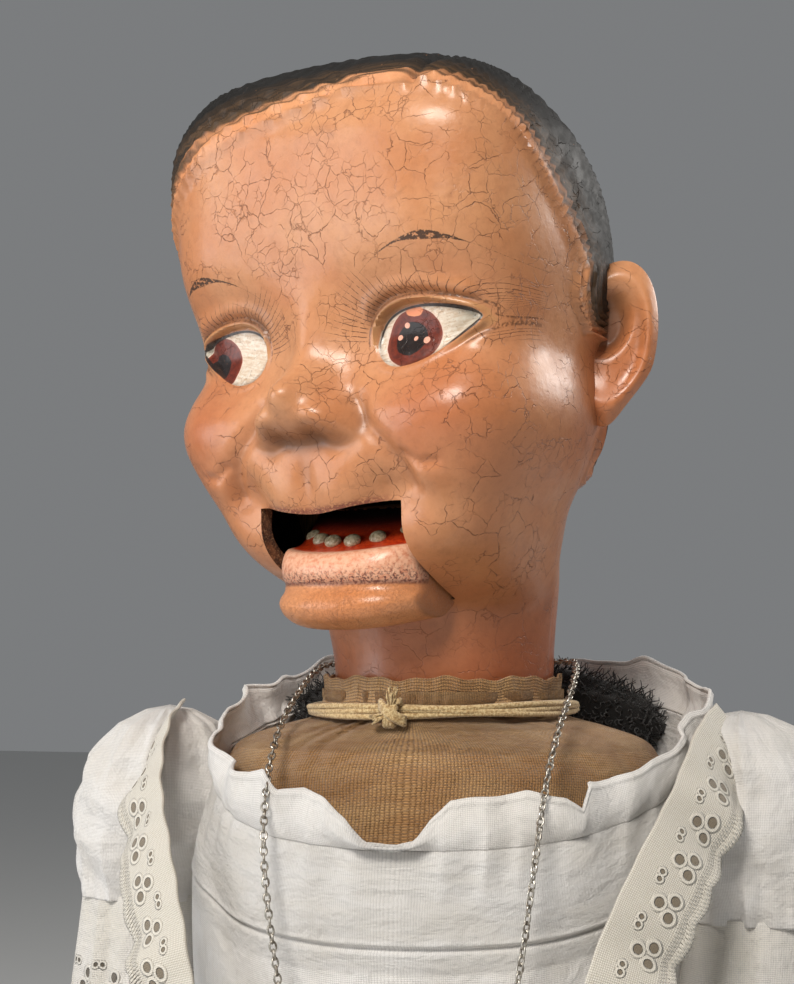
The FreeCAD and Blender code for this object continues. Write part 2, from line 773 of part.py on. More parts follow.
for side_name, side_sign in SIDES.items():
    feature("thigh_" + side_name, thigh(side_sign))
    feature("bloomers_leg_" + side_name, bloomers_leg(side_sign))
    feature("bloomers_lace_" + side_name, bloomers_lace(side_sign))
    feature("shin_" + side_name, shin(side_sign).cut(shoe(side_sign)))
    feature("ankle_tie_" + side_name, ankle_tie(side_sign))
    feature("shoe_" + side_name, shoe(side_sign))

# ---------------------------------------------------------------- check and write

doc.recompute()
for obj in doc.Objects:
    if "Invalid" in obj.State or "Error" in obj.State:
        raise RuntimeError("%s did not recompute: %s" % (obj.Label, obj.State))
for label, obj in subparts.items():
    if obj.Shape.isNull() or not obj.Shape.isValid():
        raise RuntimeError("%s has no valid shape" % label)
    if not obj.Shape.Solids:
        raise RuntimeError("%s holds no solid" % label)
    obj.Shape.exportStep("parts/%s.step" % label)
    print("%-24s %2d solid(s) %9.0f mm3" % (label, len(obj.Shape.Solids), obj.Shape.Volume))
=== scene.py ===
"""A painted ventriloquist's dummy: a cast composition head on a stuffed muslin body, in a white
cotton blouse and bloomers trimmed with eyelet lace.

The head is worked out in millimetres in its own frame, where it faces -Y and its heights start
30 mm under the jaw's hinge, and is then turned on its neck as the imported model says.
"""
import json
import math

import bmesh
import bpy
import numpy as np
from mathutils import Matrix, Vector


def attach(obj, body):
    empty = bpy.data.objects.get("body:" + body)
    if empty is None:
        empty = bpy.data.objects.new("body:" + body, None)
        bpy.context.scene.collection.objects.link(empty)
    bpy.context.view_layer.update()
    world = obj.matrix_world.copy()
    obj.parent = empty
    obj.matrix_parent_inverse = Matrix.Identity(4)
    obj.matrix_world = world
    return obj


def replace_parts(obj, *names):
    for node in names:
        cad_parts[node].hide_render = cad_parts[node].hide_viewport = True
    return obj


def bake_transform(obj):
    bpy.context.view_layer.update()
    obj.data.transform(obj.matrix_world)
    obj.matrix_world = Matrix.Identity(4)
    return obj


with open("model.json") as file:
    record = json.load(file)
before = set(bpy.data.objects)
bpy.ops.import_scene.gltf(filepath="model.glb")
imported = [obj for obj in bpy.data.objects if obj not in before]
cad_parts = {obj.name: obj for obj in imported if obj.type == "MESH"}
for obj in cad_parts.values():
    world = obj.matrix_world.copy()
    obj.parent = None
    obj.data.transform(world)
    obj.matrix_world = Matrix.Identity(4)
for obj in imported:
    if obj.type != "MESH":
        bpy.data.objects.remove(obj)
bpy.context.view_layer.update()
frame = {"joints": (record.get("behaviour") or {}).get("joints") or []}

MM = 0.001
JOINTS = {joint["name"]: joint for joint in frame["joints"]}
HINGE = JOINTS["jaw_hinge"]
HEAD_TURN = -math.atan2(HINGE["axis"][1], -HINGE["axis"][0])
HEAD_BASE = HINGE["pos_m"][2] / MM - 30      # the head frame's height zero, 30 mm under the hinge


# ---------------------------------------------------------------- small tools

def ease(low, high, value):
    """0 below low, 1 above high, smooth between; low may be above high."""
    share = np.clip((value - low) / (high - low), 0, 1)
    return share * share * (3 - 2 * share)


def hump(distance, width):
    """A soft bell, 1 at distance 0."""
    return np.exp(-(distance / width) ** 2)


def through(places, values, wanted):
    """A smooth curve that passes through values at places, read at wanted."""
    places, values = np.asarray(places, float), np.asarray(values, float)
    slopes = np.gradient(values, places)
    i = np.clip(np.searchsorted(places, wanted) - 1, 0, len(places) - 2)
    width = places[i + 1] - places[i]
    share = np.clip((wanted - places[i]) / width, 0, 1)
    before, after = (1 + 2 * share) * (1 - share) ** 2, share ** 2 * (3 - 2 * share)
    rise, settle = share * (1 - share) ** 2, -share ** 2 * (1 - share)
    return (before * values[i] + after * values[i + 1]
            + width * (rise * slopes[i] + settle * slopes[i + 1]))


def spread(count, places, weights):
    """count places, closest together where the weights are large."""
    total = np.concatenate([[0], np.cumsum((weights[1:] + weights[:-1]) / 2 * np.diff(places))])
    return np.interp(np.linspace(0, total[-1], count), total, places)


def distance_to_line(x, z, points):
    """Distance in a plane to a chain of points."""
    best = np.full(np.shape(x), 1e9)
    for (x0, z0), (x1, z1) in zip(points[:-1], points[1:]):
        run = (x1 - x0) ** 2 + (z1 - z0) ** 2
        share = np.clip(((x - x0) * (x1 - x0) + (z - z0) * (z1 - z0)) / run, 0, 1)
        best = np.minimum(best, np.hypot(x - x0 - share * (x1 - x0), z - z0 - share * (z1 - z0)))
    return best


def ripple(*waves):
    """A sum of sine waves: each wave is (phase, height)."""
    return sum(height * np.sin(phase) for phase, height in waves)


def grid_mesh(columns, rows, place, merge=1e-6, masks=None):
    """A sheet of columns x rows points; place gives their positions from two arrays, which count
    columns and rows from 0, and masks soft numbers for each. Ends that meet are merged."""
    bm = bmesh.new()
    bmesh.ops.create_grid(bm, x_segments=columns - 1, y_segments=rows - 1, size=0.5)
    across = np.array([v.co.x for v in bm.verts]) + 0.5
    along = np.array([v.co.y for v in bm.verts]) + 0.5
    across = np.rint(across * (columns - 1)).astype(int)
    along = np.rint(along * (rows - 1)).astype(int)
    for vertex, point in zip(bm.verts, place(across, along)):
        vertex.co = point
    for name, values in (masks(across, along) if masks else {}).items():
        layer = bm.verts.layers.float.new(name)
        for vertex, value in zip(bm.verts, values):
            vertex[layer] = value
    bmesh.ops.remove_doubles(bm, verts=bm.verts, dist=merge)
    return bm


def piece_from(bm, name, *materials, sharp=None, outward=False):
    """Makes the shown object of a bmesh, smooth except at edges sharper than sharp degrees."""
    if outward:
        bmesh.ops.recalc_face_normals(bm, faces=bm.faces)
    mesh = bpy.data.meshes.new(name)
    bm.to_mesh(mesh)
    bm.free()
    mesh.shade_smooth()
    if sharp:
        mesh.set_sharp_from_angle(angle=math.radians(sharp))
    obj = bpy.data.objects.new(name, mesh)
    bpy.context.scene.collection.objects.link(obj)
    for material in materials:
        mesh.materials.append(material)
    return obj


def points_of(mesh):
    """The positions of a mesh's vertices, one row each."""
    flat = np.empty(len(mesh.vertices) * 3, np.float32)
    mesh.vertices.foreach_get("co", flat)
    return flat.reshape(-1, 3).astype(float)


def set_points(mesh, points):
    mesh.vertices.foreach_set("co", np.asarray(points, np.float32).ravel())
    mesh.update()


def add_mask(mesh, name, values):
    """A soft number for each vertex that a material reads."""
    mask = mesh.attributes.new(name, "FLOAT", "POINT")
    mask.data.foreach_set("value", np.asarray(values, np.float32))


def baked(obj):
    """Applies the modifiers of obj to its mesh."""
    evaluated = obj.evaluated_get(bpy.context.evaluated_depsgraph_get())
    mesh = bpy.data.meshes.new_from_object(evaluated)
    obj.modifiers.clear()
    obj.data = mesh
    return obj


def head_to_row(points):
    """Head frame in millimetres to the row frame in metres."""
    turn = np.array(Matrix.Rotation(HEAD_TURN, 3, "Z"))
    return (np.asarray(points, float) + [0, 0, HEAD_BASE]) @ turn.T * MM


# ---------------------------------------------------------------- material tools

def colour(red, green, blue):
    """A paint colour from its everyday 0 to 255 values."""
    parts = [c / 255 for c in (red, green, blue)]
    linear = [c / 12.92 if c <= 0.04045 else ((c + 0.055) / 1.055) ** 2.4 for c in parts]
    return (*linear, 1)


class Nodes:
    """Short calls for the nodes of one material or node group."""

    def __init__(self, tree):
        self.tree = tree

    def feed(self, socket, value):
        if isinstance(value, bpy.types.NodeSocket):
            self.tree.links.new(value, socket)
        elif value is not None:
            socket.default_value = value

    def node(self, kind, inputs=(), **settings):
        made = self.tree.nodes.new(kind)
        for name, value in settings.items():
            setattr(made, name, value)
        for key, value in dict(inputs).items():
            self.feed(made.inputs[key], value)
        return made

    def math(self, operation, first, second=None, third=None, clamp=False):
        made = self.node("ShaderNodeMath", operation=operation, use_clamp=clamp)
        for socket, value in zip(made.inputs, (first, second, third)):
            self.feed(socket, value)
        return made.outputs[0]

    def add(self, first, *rest):
        for value in rest:
            first = self.math("ADD", first, value)
        return first

    def times(self, first, *rest):
        for value in rest:
            first = self.math("MULTIPLY", first, value)
        return first

    def span(self, value, low, high, to_low=0.0, to_high=1.0):
        """Smoothly from to_low at low to to_high at high."""
        made = self.node("ShaderNodeMapRange", interpolation_type="SMOOTHSTEP")
        for socket, given in zip(made.inputs, (value, low, high, to_low, to_high)):
            self.feed(socket, given)
        return made.outputs[0]

    def mix(self, share, first, second, blend="MIX"):
        made = self.node("ShaderNodeMix", data_type="RGBA", blend_type=blend, clamp_factor=True)
        self.feed(made.inputs[0], share)
        self.feed(made.inputs[6], first)
        self.feed(made.inputs[7], second)
        return made.outputs[2]

    def noise(self, vector, scale, detail=2.0, roughness=0.5, distortion=0.0):
        made = self.node("ShaderNodeTexNoise", {"Vector": vector, "Scale": scale, "Detail": detail,
                                                "Roughness": roughness, "Distortion": distortion})
        return made.outputs[0]

    def cells(self, vector, scale, feature="F1", randomness=1.0):
        made = self.node("ShaderNodeTexVoronoi", {"Vector": vector, "Scale": scale,
                                                  "Randomness": randomness}, feature=feature)
        return made.outputs["Distance"]

    def split(self, vector):
        return self.node("ShaderNodeSeparateXYZ", {"Vector": vector}).outputs

    def join(self, x, y, z):
        return self.node("ShaderNodeCombineXYZ", {"X": x, "Y": y, "Z": z}).outputs[0]

    def mapping(self, vector, location=(0, 0, 0), rotation=(0, 0, 0), scale=(1, 1, 1)):
        return self.node("ShaderNodeMapping", {"Vector": vector, "Location": location,
                                               "Rotation": rotation, "Scale": scale}).outputs[0]

    def object_place(self):
        return self.node("ShaderNodeTexCoord").outputs["Object"]

    def millimetres(self):
        """The object's own place, in millimetres."""
        return self.mapping(self.object_place(), scale=(1 / MM,) * 3)

    def minus(self, first, second):
        return self.math("SUBTRACT", first, second)

    def over(self, first, second):
        return self.math("DIVIDE", first, second)

    def size(self, value):
        return self.math("ABSOLUTE", value)

    def most(self, first, second):
        return self.math("MAXIMUM", first, second)

    def least(self, first, second):
        return self.math("MINIMUM", first, second)

    def apart(self, first, second):
        """Length of two differences at right angles."""
        return self.math("SQRT", self.add(self.times(first, first), self.times(second, second)))

    def away(self, value, middle):
        """How far value is from middle, either way."""
        return self.math("ABSOLUTE", self.math("SUBTRACT", value, middle))

    def mask(self, name):
        return self.node("ShaderNodeAttribute", attribute_name=name).outputs["Fac"]

    def warp(self, vector, amount, scale):
        """vector pushed about by a noise, amount in the vector's own unit."""
        noise = self.node("ShaderNodeTexNoise", {"Vector": vector, "Scale": scale, "Detail": 2.0})
        centred = self.node("ShaderNodeVectorMath",
                            {0: noise.outputs["Color"], 1: (0.5, 0.5, 0.5)},
                            operation="SUBTRACT").outputs[0]
        return self.node("ShaderNodeVectorMath", {0: centred, 1: (amount,) * 3, 2: vector},
                         operation="MULTIPLY_ADD").outputs[0]

    def bump(self, height, distance, normal=None, strength=1.0):
        return self.node("ShaderNodeBump", {"Height": height, "Distance": distance,
                                            "Strength": strength, "Normal": normal}).outputs[0]

    def use(self, group, **inputs):
        made = self.node("ShaderNodeGroup")
        made.node_tree = group
        for name, value in inputs.items():
            self.feed(made.inputs[name.replace("_", " ")], value)
        return made.outputs


def group(name, inputs, outputs):
    """An empty node group with named inputs (name: kind or (kind, value)) and outputs."""
    tree = bpy.data.node_groups.new(name, "ShaderNodeTree")
    for label, given in inputs.items():
        kind, value = given if isinstance(given, tuple) else (given, None)
        socket = tree.interface.new_socket(label, in_out="INPUT", socket_type=f"NodeSocket{kind}")
        if value is not None:
            socket.default_value = value
    for label, kind in outputs.items():
        tree.interface.new_socket(label, in_out="OUTPUT", socket_type=f"NodeSocket{kind}")
    nodes = Nodes(tree)
    given = nodes.node("NodeGroupInput").outputs
    result = nodes.node("NodeGroupOutput").inputs
    return nodes, given, result


def finish(name, **constants):
    """A new material with its Principled shader; constants go on the shader's own sockets."""
    made = bpy.data.materials.new(name)
    made.use_nodes = True
    shader = made.node_tree.nodes["Principled BSDF"]
    for key, value in constants.items():
        shader.inputs[key.replace("_", " ")].default_value = value
    return made, Nodes(made.node_tree), shader.inputs


# ---------------------------------------------------------------- the head's form

# height, half width, front, back, widest line, squareness of the front
HEAD_STATIONS = np.array([
    (-48, 31.5, -31.5, 31.5, 0, 2), (2, 31.5, -31.5, 32, 0, 2), (10, 33, -33.5, 33.5, -3, 2.1),
    (16, 36.5, -39, 33, -11, 2.7), (22.5, 40, -46.5, 31, -18, 3.2), (28, 43, -50.5, 29, -21, 3.6),
    (35, 46, -53.5, 28, -22, 3.9), (45, 51.5, -57, 30, -22, 3.9), (56, 55.3, -58.3, 35, -22, 3.8),
    (64, 55.4, -57.5, 38.5, -22, 3.6), (73, 54.5, -56.7, 41, -22, 3.4),
                          (84, 55.8, -58.2, 41, -22, 3.4),
    (98, 57.3, -61.5, 40.5, -22, 3.5), (110, 57.8, -64, 37.5, -23, 3.6),
                          (122, 57.6, -65, 28, -24, 3.7),
    (132, 56, -65, 15, -26, 3.7), (140, 52, -62.5, 4, -28, 3.4), (145, 48, -59, -2, -29, 3.2),
    (149, 43, -53.5, -6, -29, 3.0), (152.5, 36, -46.5, -10, -28.5, 2.7),
                          (155.5, 26, -39, -14, -27, 2.4),
    (157.5, 14.5, -32, -18, -25.5, 2.1), (158.3, 0, -24, -23.8, -23.9, 2)], float)
STATION_RUN = np.concatenate([[0], np.cumsum(np.hypot(np.diff(HEAD_STATIONS[:, 0]),
                                                      np.diff(HEAD_STATIONS[:, 1])))])
SEAM = 14.0             # the cast front and back halves meet on this plane, behind the ears
SLOT_HALF, SLOT_TOP = 23.9, 35.3
SLOT_SLOPE, SLOT_FOOT = 0.5333, 24.9    # lower edge of the slot: height = SLOT_FOOT + SLOPE * y
WALL = 4.2


def ring_point(run, turn):
    """A point of the plain head. run goes up the stations; turn is 0 at the front, 1 and -1 at
    the widest line and 2 and -2 at the back."""
    height, half, front, back, middle, power = (
        through(STATION_RUN, HEAD_STATIONS[:, i], run) for i in range(6))
    angle = np.abs(turn) * math.pi / 2
    ahead = np.abs(turn) <= 1
    share = 2 / np.maximum(power, 2)
    sine, cosine = np.abs(np.sin(angle)), np.abs(np.cos(angle))
    x = np.where(ahead, sine ** share, sine) * half * np.sign(turn)
    y = np.where(ahead, middle + (front - middle) * cosine ** share,
                 middle + (back - middle) * cosine)
    return np.stack([x, y, height], -1)


def seam_turn(run):
    """Where the seam plane crosses the ring at run: 2 where the whole ring is in front of it."""
    back = through(STATION_RUN, HEAD_STATIONS[:, 3], run)
    middle = through(STATION_RUN, HEAD_STATIONS[:, 4], run)
    return 1 + np.arcsin(np.clip((SEAM - middle) / np.maximum(back - middle, 1e-3), 0,
                                 1)) / (math.pi / 2)


EYE = (33.4, 77.4)      # middle of the eye opening
EYE_TILT = math.radians(11.0)
EYE_HALF = 14.6
UPPER_LID, LOWER_LID = (7.1, 0.45), (6.9, 0.55)      # height of the opening, lean to the nose


def eye_field(x, z):
    """Eye coordinates along and up, a roundness that is 1 on the lids' edge, and the distance
    outside that edge in millimetres."""
    side, up = np.abs(x) - EYE[0], z - EYE[1]
    u = side * math.cos(EYE_TILT) + up * math.sin(EYE_TILT)
    v = -side * math.sin(EYE_TILT) + up * math.cos(EYE_TILT)
    s = u / EYE_HALF
    lean = np.where(v > 0, UPPER_LID[0] * (1 - UPPER_LID[1] * s),
                    LOWER_LID[0] * (1 - LOWER_LID[1] * s))
    lean = np.maximum(lean, 1.2)
    rho = np.sqrt(s ** 2 + (v / lean) ** 2) + 1e-6
    slope = np.sqrt((s / EYE_HALF) ** 2 + (v / lean ** 2) ** 2) / rho + 1e-6
    return u, v, rho, (rho - 1) / slope


SMILE_FOLD = [(15.5, 60), (19, 55), (25, 48.5), (29, 42.5), (30, 37)]


def hair_reach(points):
    """How far a point lies behind the hairline, in millimetres; under 0 on the face."""
    x, y, z = points.T
    crown = z + 1.045 * y - 76 + 0.24 * np.maximum(0, 38 - x)
    side = (crown + 9 * ease(100, 86, z)) * 0.7
    over_ear = np.minimum(side, (z - 79) * 1.5)
    behind = np.where(y > 12, (z - 42 + 6 * hump(x, 25)) * 1.0, -9.0)
    behind_ear = np.where(y > 2, np.minimum((y - 4) * 1.2, z - 42 + 6 * hump(x, 25)), -9.0)
    low = np.maximum(over_ear, np.maximum(behind * ease(8, 14, y), behind_ear))
    return np.where(z > 98, np.maximum(crown * 0.7, low), low)


def hair_relief(points):
    """Height of the moulded strands above the scalp."""
    x, y, z = points.T
    reach = hair_reach(points)
    sway = ripple((x * 0.055 + z * 0.03, 1.3), (x * 0.13 + z * 0.05 + 1, 0.6))
    combed = np.sin((reach + sway) * 2 * math.pi / 3.1)
    body = ease(-0.8, 2.2, reach) * 1.5
    ridges = ease(0, 2, reach) * (0.34 + 0.42 * hump(reach - 4, 8)) * combed
    fine = ease(1, 4, reach) * 0.12 * np.sin((reach + sway * 1.6) * 2 * math.pi / 1.7)
    parting = -1.6 * hump(distance_to_line(x, y, [(36, -66), (32, -45), (25, -18), (17, 0)]), 1.6)
    return body + ridges + fine + parting * ease(128, 136, z) * ease(0, 3, reach)


def face_relief(points):
    """Sculpting of the face on the plain head: height along the surface, and height towards -Y."""
    x, y, z = points.T
    front = ease(-12, -30, y)
    side = np.abs(x)
    u, v, rho, out = eye_field(x, z)

    height = -5.6 * np.exp(-((side - 29.5) / 19.5) ** 2 - ((z - 79) / 13.5) ** 2)
    height += 1.3 * np.exp(-((side - 40) / 15) ** 2 - ((z - 101) / 9) ** 2)
    upper = ease(-3.5, 1.5, v + 0.22 * (u + EYE_HALF) - 1.0)
    opening = ease(0.35, -0.55, out)
    ball = 1.3 * np.clip(1 - rho ** 2, 0, 1) - 1.2 * upper - 0.3
    height += opening * ball
    closed = 1 - opening
    ends = ease(1.18, 0.96, np.abs(u) / EYE_HALF)
    height += closed * upper * ends * (1.0 * hump(out - 0.7, 0.9) - 0.8 * hump(out - 2.2, 0.7))
    height += closed * upper * ends * 0.8 * hump(out - 4.2, 1.9)
    height += closed * (1 - upper) * ends * (0.4 * hump(out - 0.7, 0.9)
                                             - 0.3 * hump(out - 2.6, 1.3))

    height += 3.0 * np.exp(-((side - 35) / 15) ** 2 - ((z - 57) / 12) ** 2)
    height += 1.6 * np.exp(-((side - 47) / 9) ** 2 - ((z - 60) / 12) ** 2)
    height += 2.9 * np.exp(-(x / 21) ** 4 - ((z - 42.5) / 8.5) ** 2)
    height += 1.0 * np.exp(-((side - 10) / 8) ** 2 - ((z - 38) / 5.5) ** 2)
    height -= 1.15 * np.exp(-(x / 2.9) ** 2 - ((z - 43.2) / 4.6) ** 2)
    fold = distance_to_line(side, z, SMILE_FOLD)
    height -= 1.9 * hump(fold, 2.6) * ease(34, 38, z)
    height -= 0.9 * hump(distance_to_line(side, z, [(30, 46.5), (34, 44), (38, 44.2)]), 1.3)
    height += 1.0 * np.exp(-((side - 34) / 5) ** 2 - ((z - 41) / 4) ** 2)
    height += 1.4 * np.exp(-((side - 29) / 8) ** 2 - ((z - 27) / 9) ** 2)
    height -= 4.2 * np.exp(-((side - 24) / 8) ** 2 - ((z - 36) / 8) ** 2)

    under = ease(49.2, 53.4, z + 0.10 * (side - 4))
    tip = 10.6 * np.exp(-(np.abs(x) / 8.4) ** 2.4 - (np.abs(z - 60) / 8.3) ** 2.3)
    wings = 6.4 * np.exp(-((side - 10.2) / 5.4) ** 2 - ((z - 56.2) / 5.4) ** 2)
    bridge = 4.2 * np.exp(-(x / 7.5) ** 2) * ease(98, 70, z) * ease(56, 64, z)
    forward = (tip + wings) * under + bridge
    forward -= 2.6 * np.exp(-((side - 6.2) / 2.8) ** 2 - ((z - 52.4) / 2.0) ** 2)
    forward -= 0.7 * hump(np.hypot(side - 10.5, z - 57) - 8.0, 2.6) * ease(6, 11, side) * ease(66,
                                                                                               58,
                                                                                               z)
    forward -= 0.9 * np.exp(-((side - 4.9) / 1.8) ** 2 - ((z - 60) / 4.5) ** 2)
    return height * front, forward * front


def grime_and_shade(points):
    """Where rubbed-in soiling and painted shade gather in creases, nostrils and under the nose, 0
    to 1.
    """
    x, y, z = points.T
    side = np.abs(x)
    u, v, _, out = eye_field(x, z)
    upper = ease(-3.5, 1.5, v + 0.22 * (u + EYE_HALF) - 1.0)
    dirt_and_shade = 0.8 * hump(out - 2.3, 0.8) * upper * ease(1.15, 0.95, np.abs(u) / EYE_HALF)
    dirt_and_shade += 0.6 * np.exp(-((side - 20.0) / 5.5) ** 2 - ((z - 84) / 7) ** 2)
    dirt_and_shade += 1.0 * np.exp(-((side - 6.4) / 5.0) ** 2 - ((z - 51.4) / 2.8) ** 2)
    dirt_and_shade += 0.7 * np.exp(-(x / 6) ** 2 - ((z - 50.6) / 2.6) ** 2)
    dirt_and_shade += 0.4 * hump(np.hypot(side - 10.5, z - 57) - 8.2, 1.8) * ease(8, 12, side) * ease(64, 56,
                                                                                            z)
    dirt_and_shade += 0.3 * hump(distance_to_line(side, z, SMILE_FOLD), 2.2)
    dirt_and_shade += 0.45 * np.exp(-(x / 2.2) ** 2 - ((z - 43) / 4.2) ** 2)
    return np.clip(dirt_and_shade * ease(-30, -40, y), 0, 1)


def sculpt(run, turn):
    """Finished head surface in the head frame, millimetres."""
    base = ring_point(run, turn)
    step_run, step_turn = 0.02, 0.0006
    up = ring_point(run + step_run, turn) - ring_point(run - step_run, turn)
    around = ring_point(run, turn + step_turn) - ring_point(run, turn - step_turn)
    normal = np.cross(around, up)
    length = np.linalg.norm(normal, axis=1, keepdims=True)
    normal = np.where(length > 1e-9, normal / np.maximum(length, 1e-9), [0, 0, 1])
    along, forward = face_relief(base)
    point = base + normal * (along + hair_relief(base))[:, None]
    point[:, 1] -= forward
    point[:, 2] -= 0.085 * point[:, 0] * ease(112, 150, point[:, 2])
    return point


ROW_COUNT, FRONT_COLUMNS, BACK_COLUMNS = 212, 236, 96


def head_rows():
    fine = np.linspace(0, STATION_RUN[-1], 4000)
    height = ring_point(fine, np.zeros(4000))[:, 2]
    jaw_level = ease(14, 20, height) * ease(70, 62, height)
    return spread(ROW_COUNT, fine, 0.42 + 1.9 * hump(height - 79, 12) + 0.75 * jaw_level
                  - 0.2 * ease(8, 0, height))


def front_turns():
    """Shares from -1 to 1 between the two seam edges, closest at the eyes."""
    fine = np.linspace(-1.5, 1.5, 6001)
    ring = ring_point(np.full(6001, through(HEAD_STATIONS[:, 0], STATION_RUN, 73.0)), fine)
    length = np.concatenate([[0], np.cumsum(np.hypot(*np.diff(ring[:, :2], axis=0).T))])
    side = np.abs(np.interp(length, length, ring[:, 0]))
    ahead = ease(-20, -45, ring[:, 1])
    weight = 0.55 + ahead * (0.55 + 0.95 * hump(side - 33, 13))
    return np.interp(spread(FRONT_COLUMNS, length, weight), length, fine)


def head_front(skin, raw, inside):
    rows, turns = head_rows(), front_turns()

    def place(across, along):
        run, turn = rows[along], turns[across]
        reach = seam_turn(run)
        beyond = np.maximum(np.abs(turn) - 1, 0) / 0.5
        turn = np.where(np.abs(turn) > 1, np.sign(turn) * (1 + beyond * (reach - 1)), turn)
        return sculpt(run, turn)

    bm = grid_mesh(FRONT_COLUMNS, ROW_COUNT, place, merge=0.02)
    cut_mouth(bm)
    obj = piece_from(bm, "head_front", skin, raw, inside)
    wall(obj)
    return dress_head(obj)


def cut_mouth(bm):
    """The slot for the jaw: upright sides, a top edge that dips to the lip, a slanting foot."""
    near = [f for f in bm.faces if abs(f.calc_center_median().x) < 30
            and -6 < f.calc_center_median().z < 42 and f.calc_center_median().y < 0]
    planes = [((SLOT_HALF, 0, 0), (1, 0, 0)), ((-SLOT_HALF, 0, 0), (1, 0, 0)),
              ((0, 0, SLOT_TOP), (0, 0, 1)), ((0, 0, SLOT_FOOT), (0, -SLOT_SLOPE, 1))]
    for place, normal in planes:
        near = [f for f in near if f.is_valid]
        edges = {edge for face in near for edge in face.edges}
        around = near + list(edges) + list({v for face in near for v in face.verts})
        cut = bmesh.ops.bisect_plane(bm, geom=around, plane_co=place, plane_no=normal, dist=0.01)
        near = [g for g in cut["geom"] if isinstance(g, bmesh.types.BMFace)]
    gone = []
    for face in near:
        c = face.calc_center_median()
        if abs(c.x) < SLOT_HALF and SLOT_FOOT + SLOT_SLOPE * c.y < c.z < SLOT_TOP:
            gone.append(face)
    bmesh.ops.delete(bm, geom=gone, context="FACES")
    for vertex in bm.verts:
        x, y, z = vertex.co
        if abs(x) < 30 and 24 < z < 48 and y < -40:
            dip = 2.9 * math.cos(min(abs(x) / 22.0, 1) * math.pi / 2) ** 1.5
            vertex.co.z -= dip * float(ease(46, 35, z)) * float(ease(24, 30, z))


def wall(obj):
    """Gives the cast shell its wall, inwards, and keeps the slot's sides square to the jaw."""
    solid = obj.modifiers.new("wall", "SOLIDIFY")
    solid.thickness, solid.offset = WALL, -1
    solid.material_offset, solid.material_offset_rim = 2, 1
    baked(obj)
    points = points_of(obj.data)
    x, y, z = points.T
    in_slot = ((z > SLOT_FOOT + SLOT_SLOPE * y + 0.4) & (z < SLOT_TOP - 3.2) & (y < -12)
               & (np.abs(x) < SLOT_HALF))
    points[in_slot, 0] = np.sign(x[in_slot]) * SLOT_HALF
    set_points(obj.data, points)


def dress_head(obj):
    """Masks for the paint, then the head's place on the neck."""
    points = points_of(obj.data)
    add_mask(obj.data, "hair", hair_reach(points) / 20)
    add_mask(obj.data, "grime_and_shade", grime_and_shade(points))
    set_points(obj.data, head_to_row(points))
    obj.data.set_sharp_from_angle(angle=math.radians(50))
    return obj


def head_back(skin, raw, inside):
    rows = head_rows()
    top = through(HEAD_STATIONS[:, 0], STATION_RUN, 132.9)
    rows = rows[rows < top][::2]
    count = len(rows)

    def place(across, along):
        run = rows[along]
        reach = seam_turn(run)
        share = across / (BACK_COLUMNS - 1)
        turn = reach + (4 - 2 * reach) * share
        return sculpt(run, np.where(turn > 2, turn - 4, turn))

    bm = grid_mesh(BACK_COLUMNS, count, place, merge=0.02)
    obj = piece_from(bm, "head_back", skin, raw, inside)
    wall(obj)
    return dress_head(obj)


def ear(side, skin):
    """One moulded ear: a cupped leaf with a rolled rim, standing out from the head."""
    out = np.array([0.80, 0.60, 0.0])
    face = np.array([0.60, -0.80, 0.0])
    centre = np.array([55.0, 2.5, 79.0])

    bm = bmesh.new()
    bmesh.ops.create_uvsphere(bm, u_segments=72, v_segments=56, radius=1)
    co = np.array([v.co for v in bm.verts])
    a, b, c = co.T            # a outwards, b up, c the ear's face
    radius = np.hypot(a, b)
    width = np.where(b > -0.25, 12.8, 12.8 - 5.2 * ease(-0.25, -1.0, b))
    p = a * width + 1.6 * b - 1.2 * (1 - b * b)
    q = b * 22.4
    rim = hump(radius - 0.80, 0.15)
    hollow = ease(0.72, 0.35, np.hypot((a + 0.08) / 0.78, (b - 0.22) / 0.62))
    lobe = np.exp(-((b + 0.66) / 0.24) ** 2 - ((a + 0.05) / 0.5) ** 2)
    thick = np.where(c > 0, 2.4 * c + 2.0 * rim * (c > 0) - 3.6 * hollow + 1.7 * lobe, 3.4 * c)
    n = thick + 1.5 * a
    points = centre + p[:, None] * out + q[:, None] * [0.05, 0.03, 1.0] + n[:, None] * face
    points[:, 0] *= side
    # painted shade in the ear's hollow and just inside its rim, carried by the shading mask
    shade = np.clip(hollow * 0.9 + 0.35 * hump(radius - 0.62, 0.1) * (b > -0.1), 0, 1) * (c > 0)
    for vertex, point in zip(bm.verts, points):
        vertex.co = point
    name = "ear_left" if side > 0 else "ear_right"
    obj = piece_from(bm, name, skin, outward=True)
    add_mask(obj.data, "hair", np.full(len(points), -0.5))
    add_mask(obj.data, "grime_and_shade", shade)
    set_points(obj.data, head_to_row(points_of(obj.data)))
    return obj


# ---------------------------------------------------------------- the jaw

# side profile of the jaw, y and height: mouth floor, lip, chin and underside
JAW_PROFILE = [(-30, 35.5), (-36, 31.5), (-42, 26.6), (-46.0, 23.6), (-48.4, 23.0), (-50.6, 22.4),
               (-52.3, 20.4),
               (-52.9, 18.0), (-52.4, 16.0), (-51.3, 14.6), (-51.6, 13.0), (-53.2, 10.8),
               (-53.8, 8.4),
               (-52.6, 5.6), (-49.6, 3.6), (-44.5, 2.7), (-38, 5.6), (-25, 12.6), (-12, 20.4),
               (-5, 26),
               (-5, 33), (-14, 36.5), (-24, 37)]
JAW_HALF = 23.2


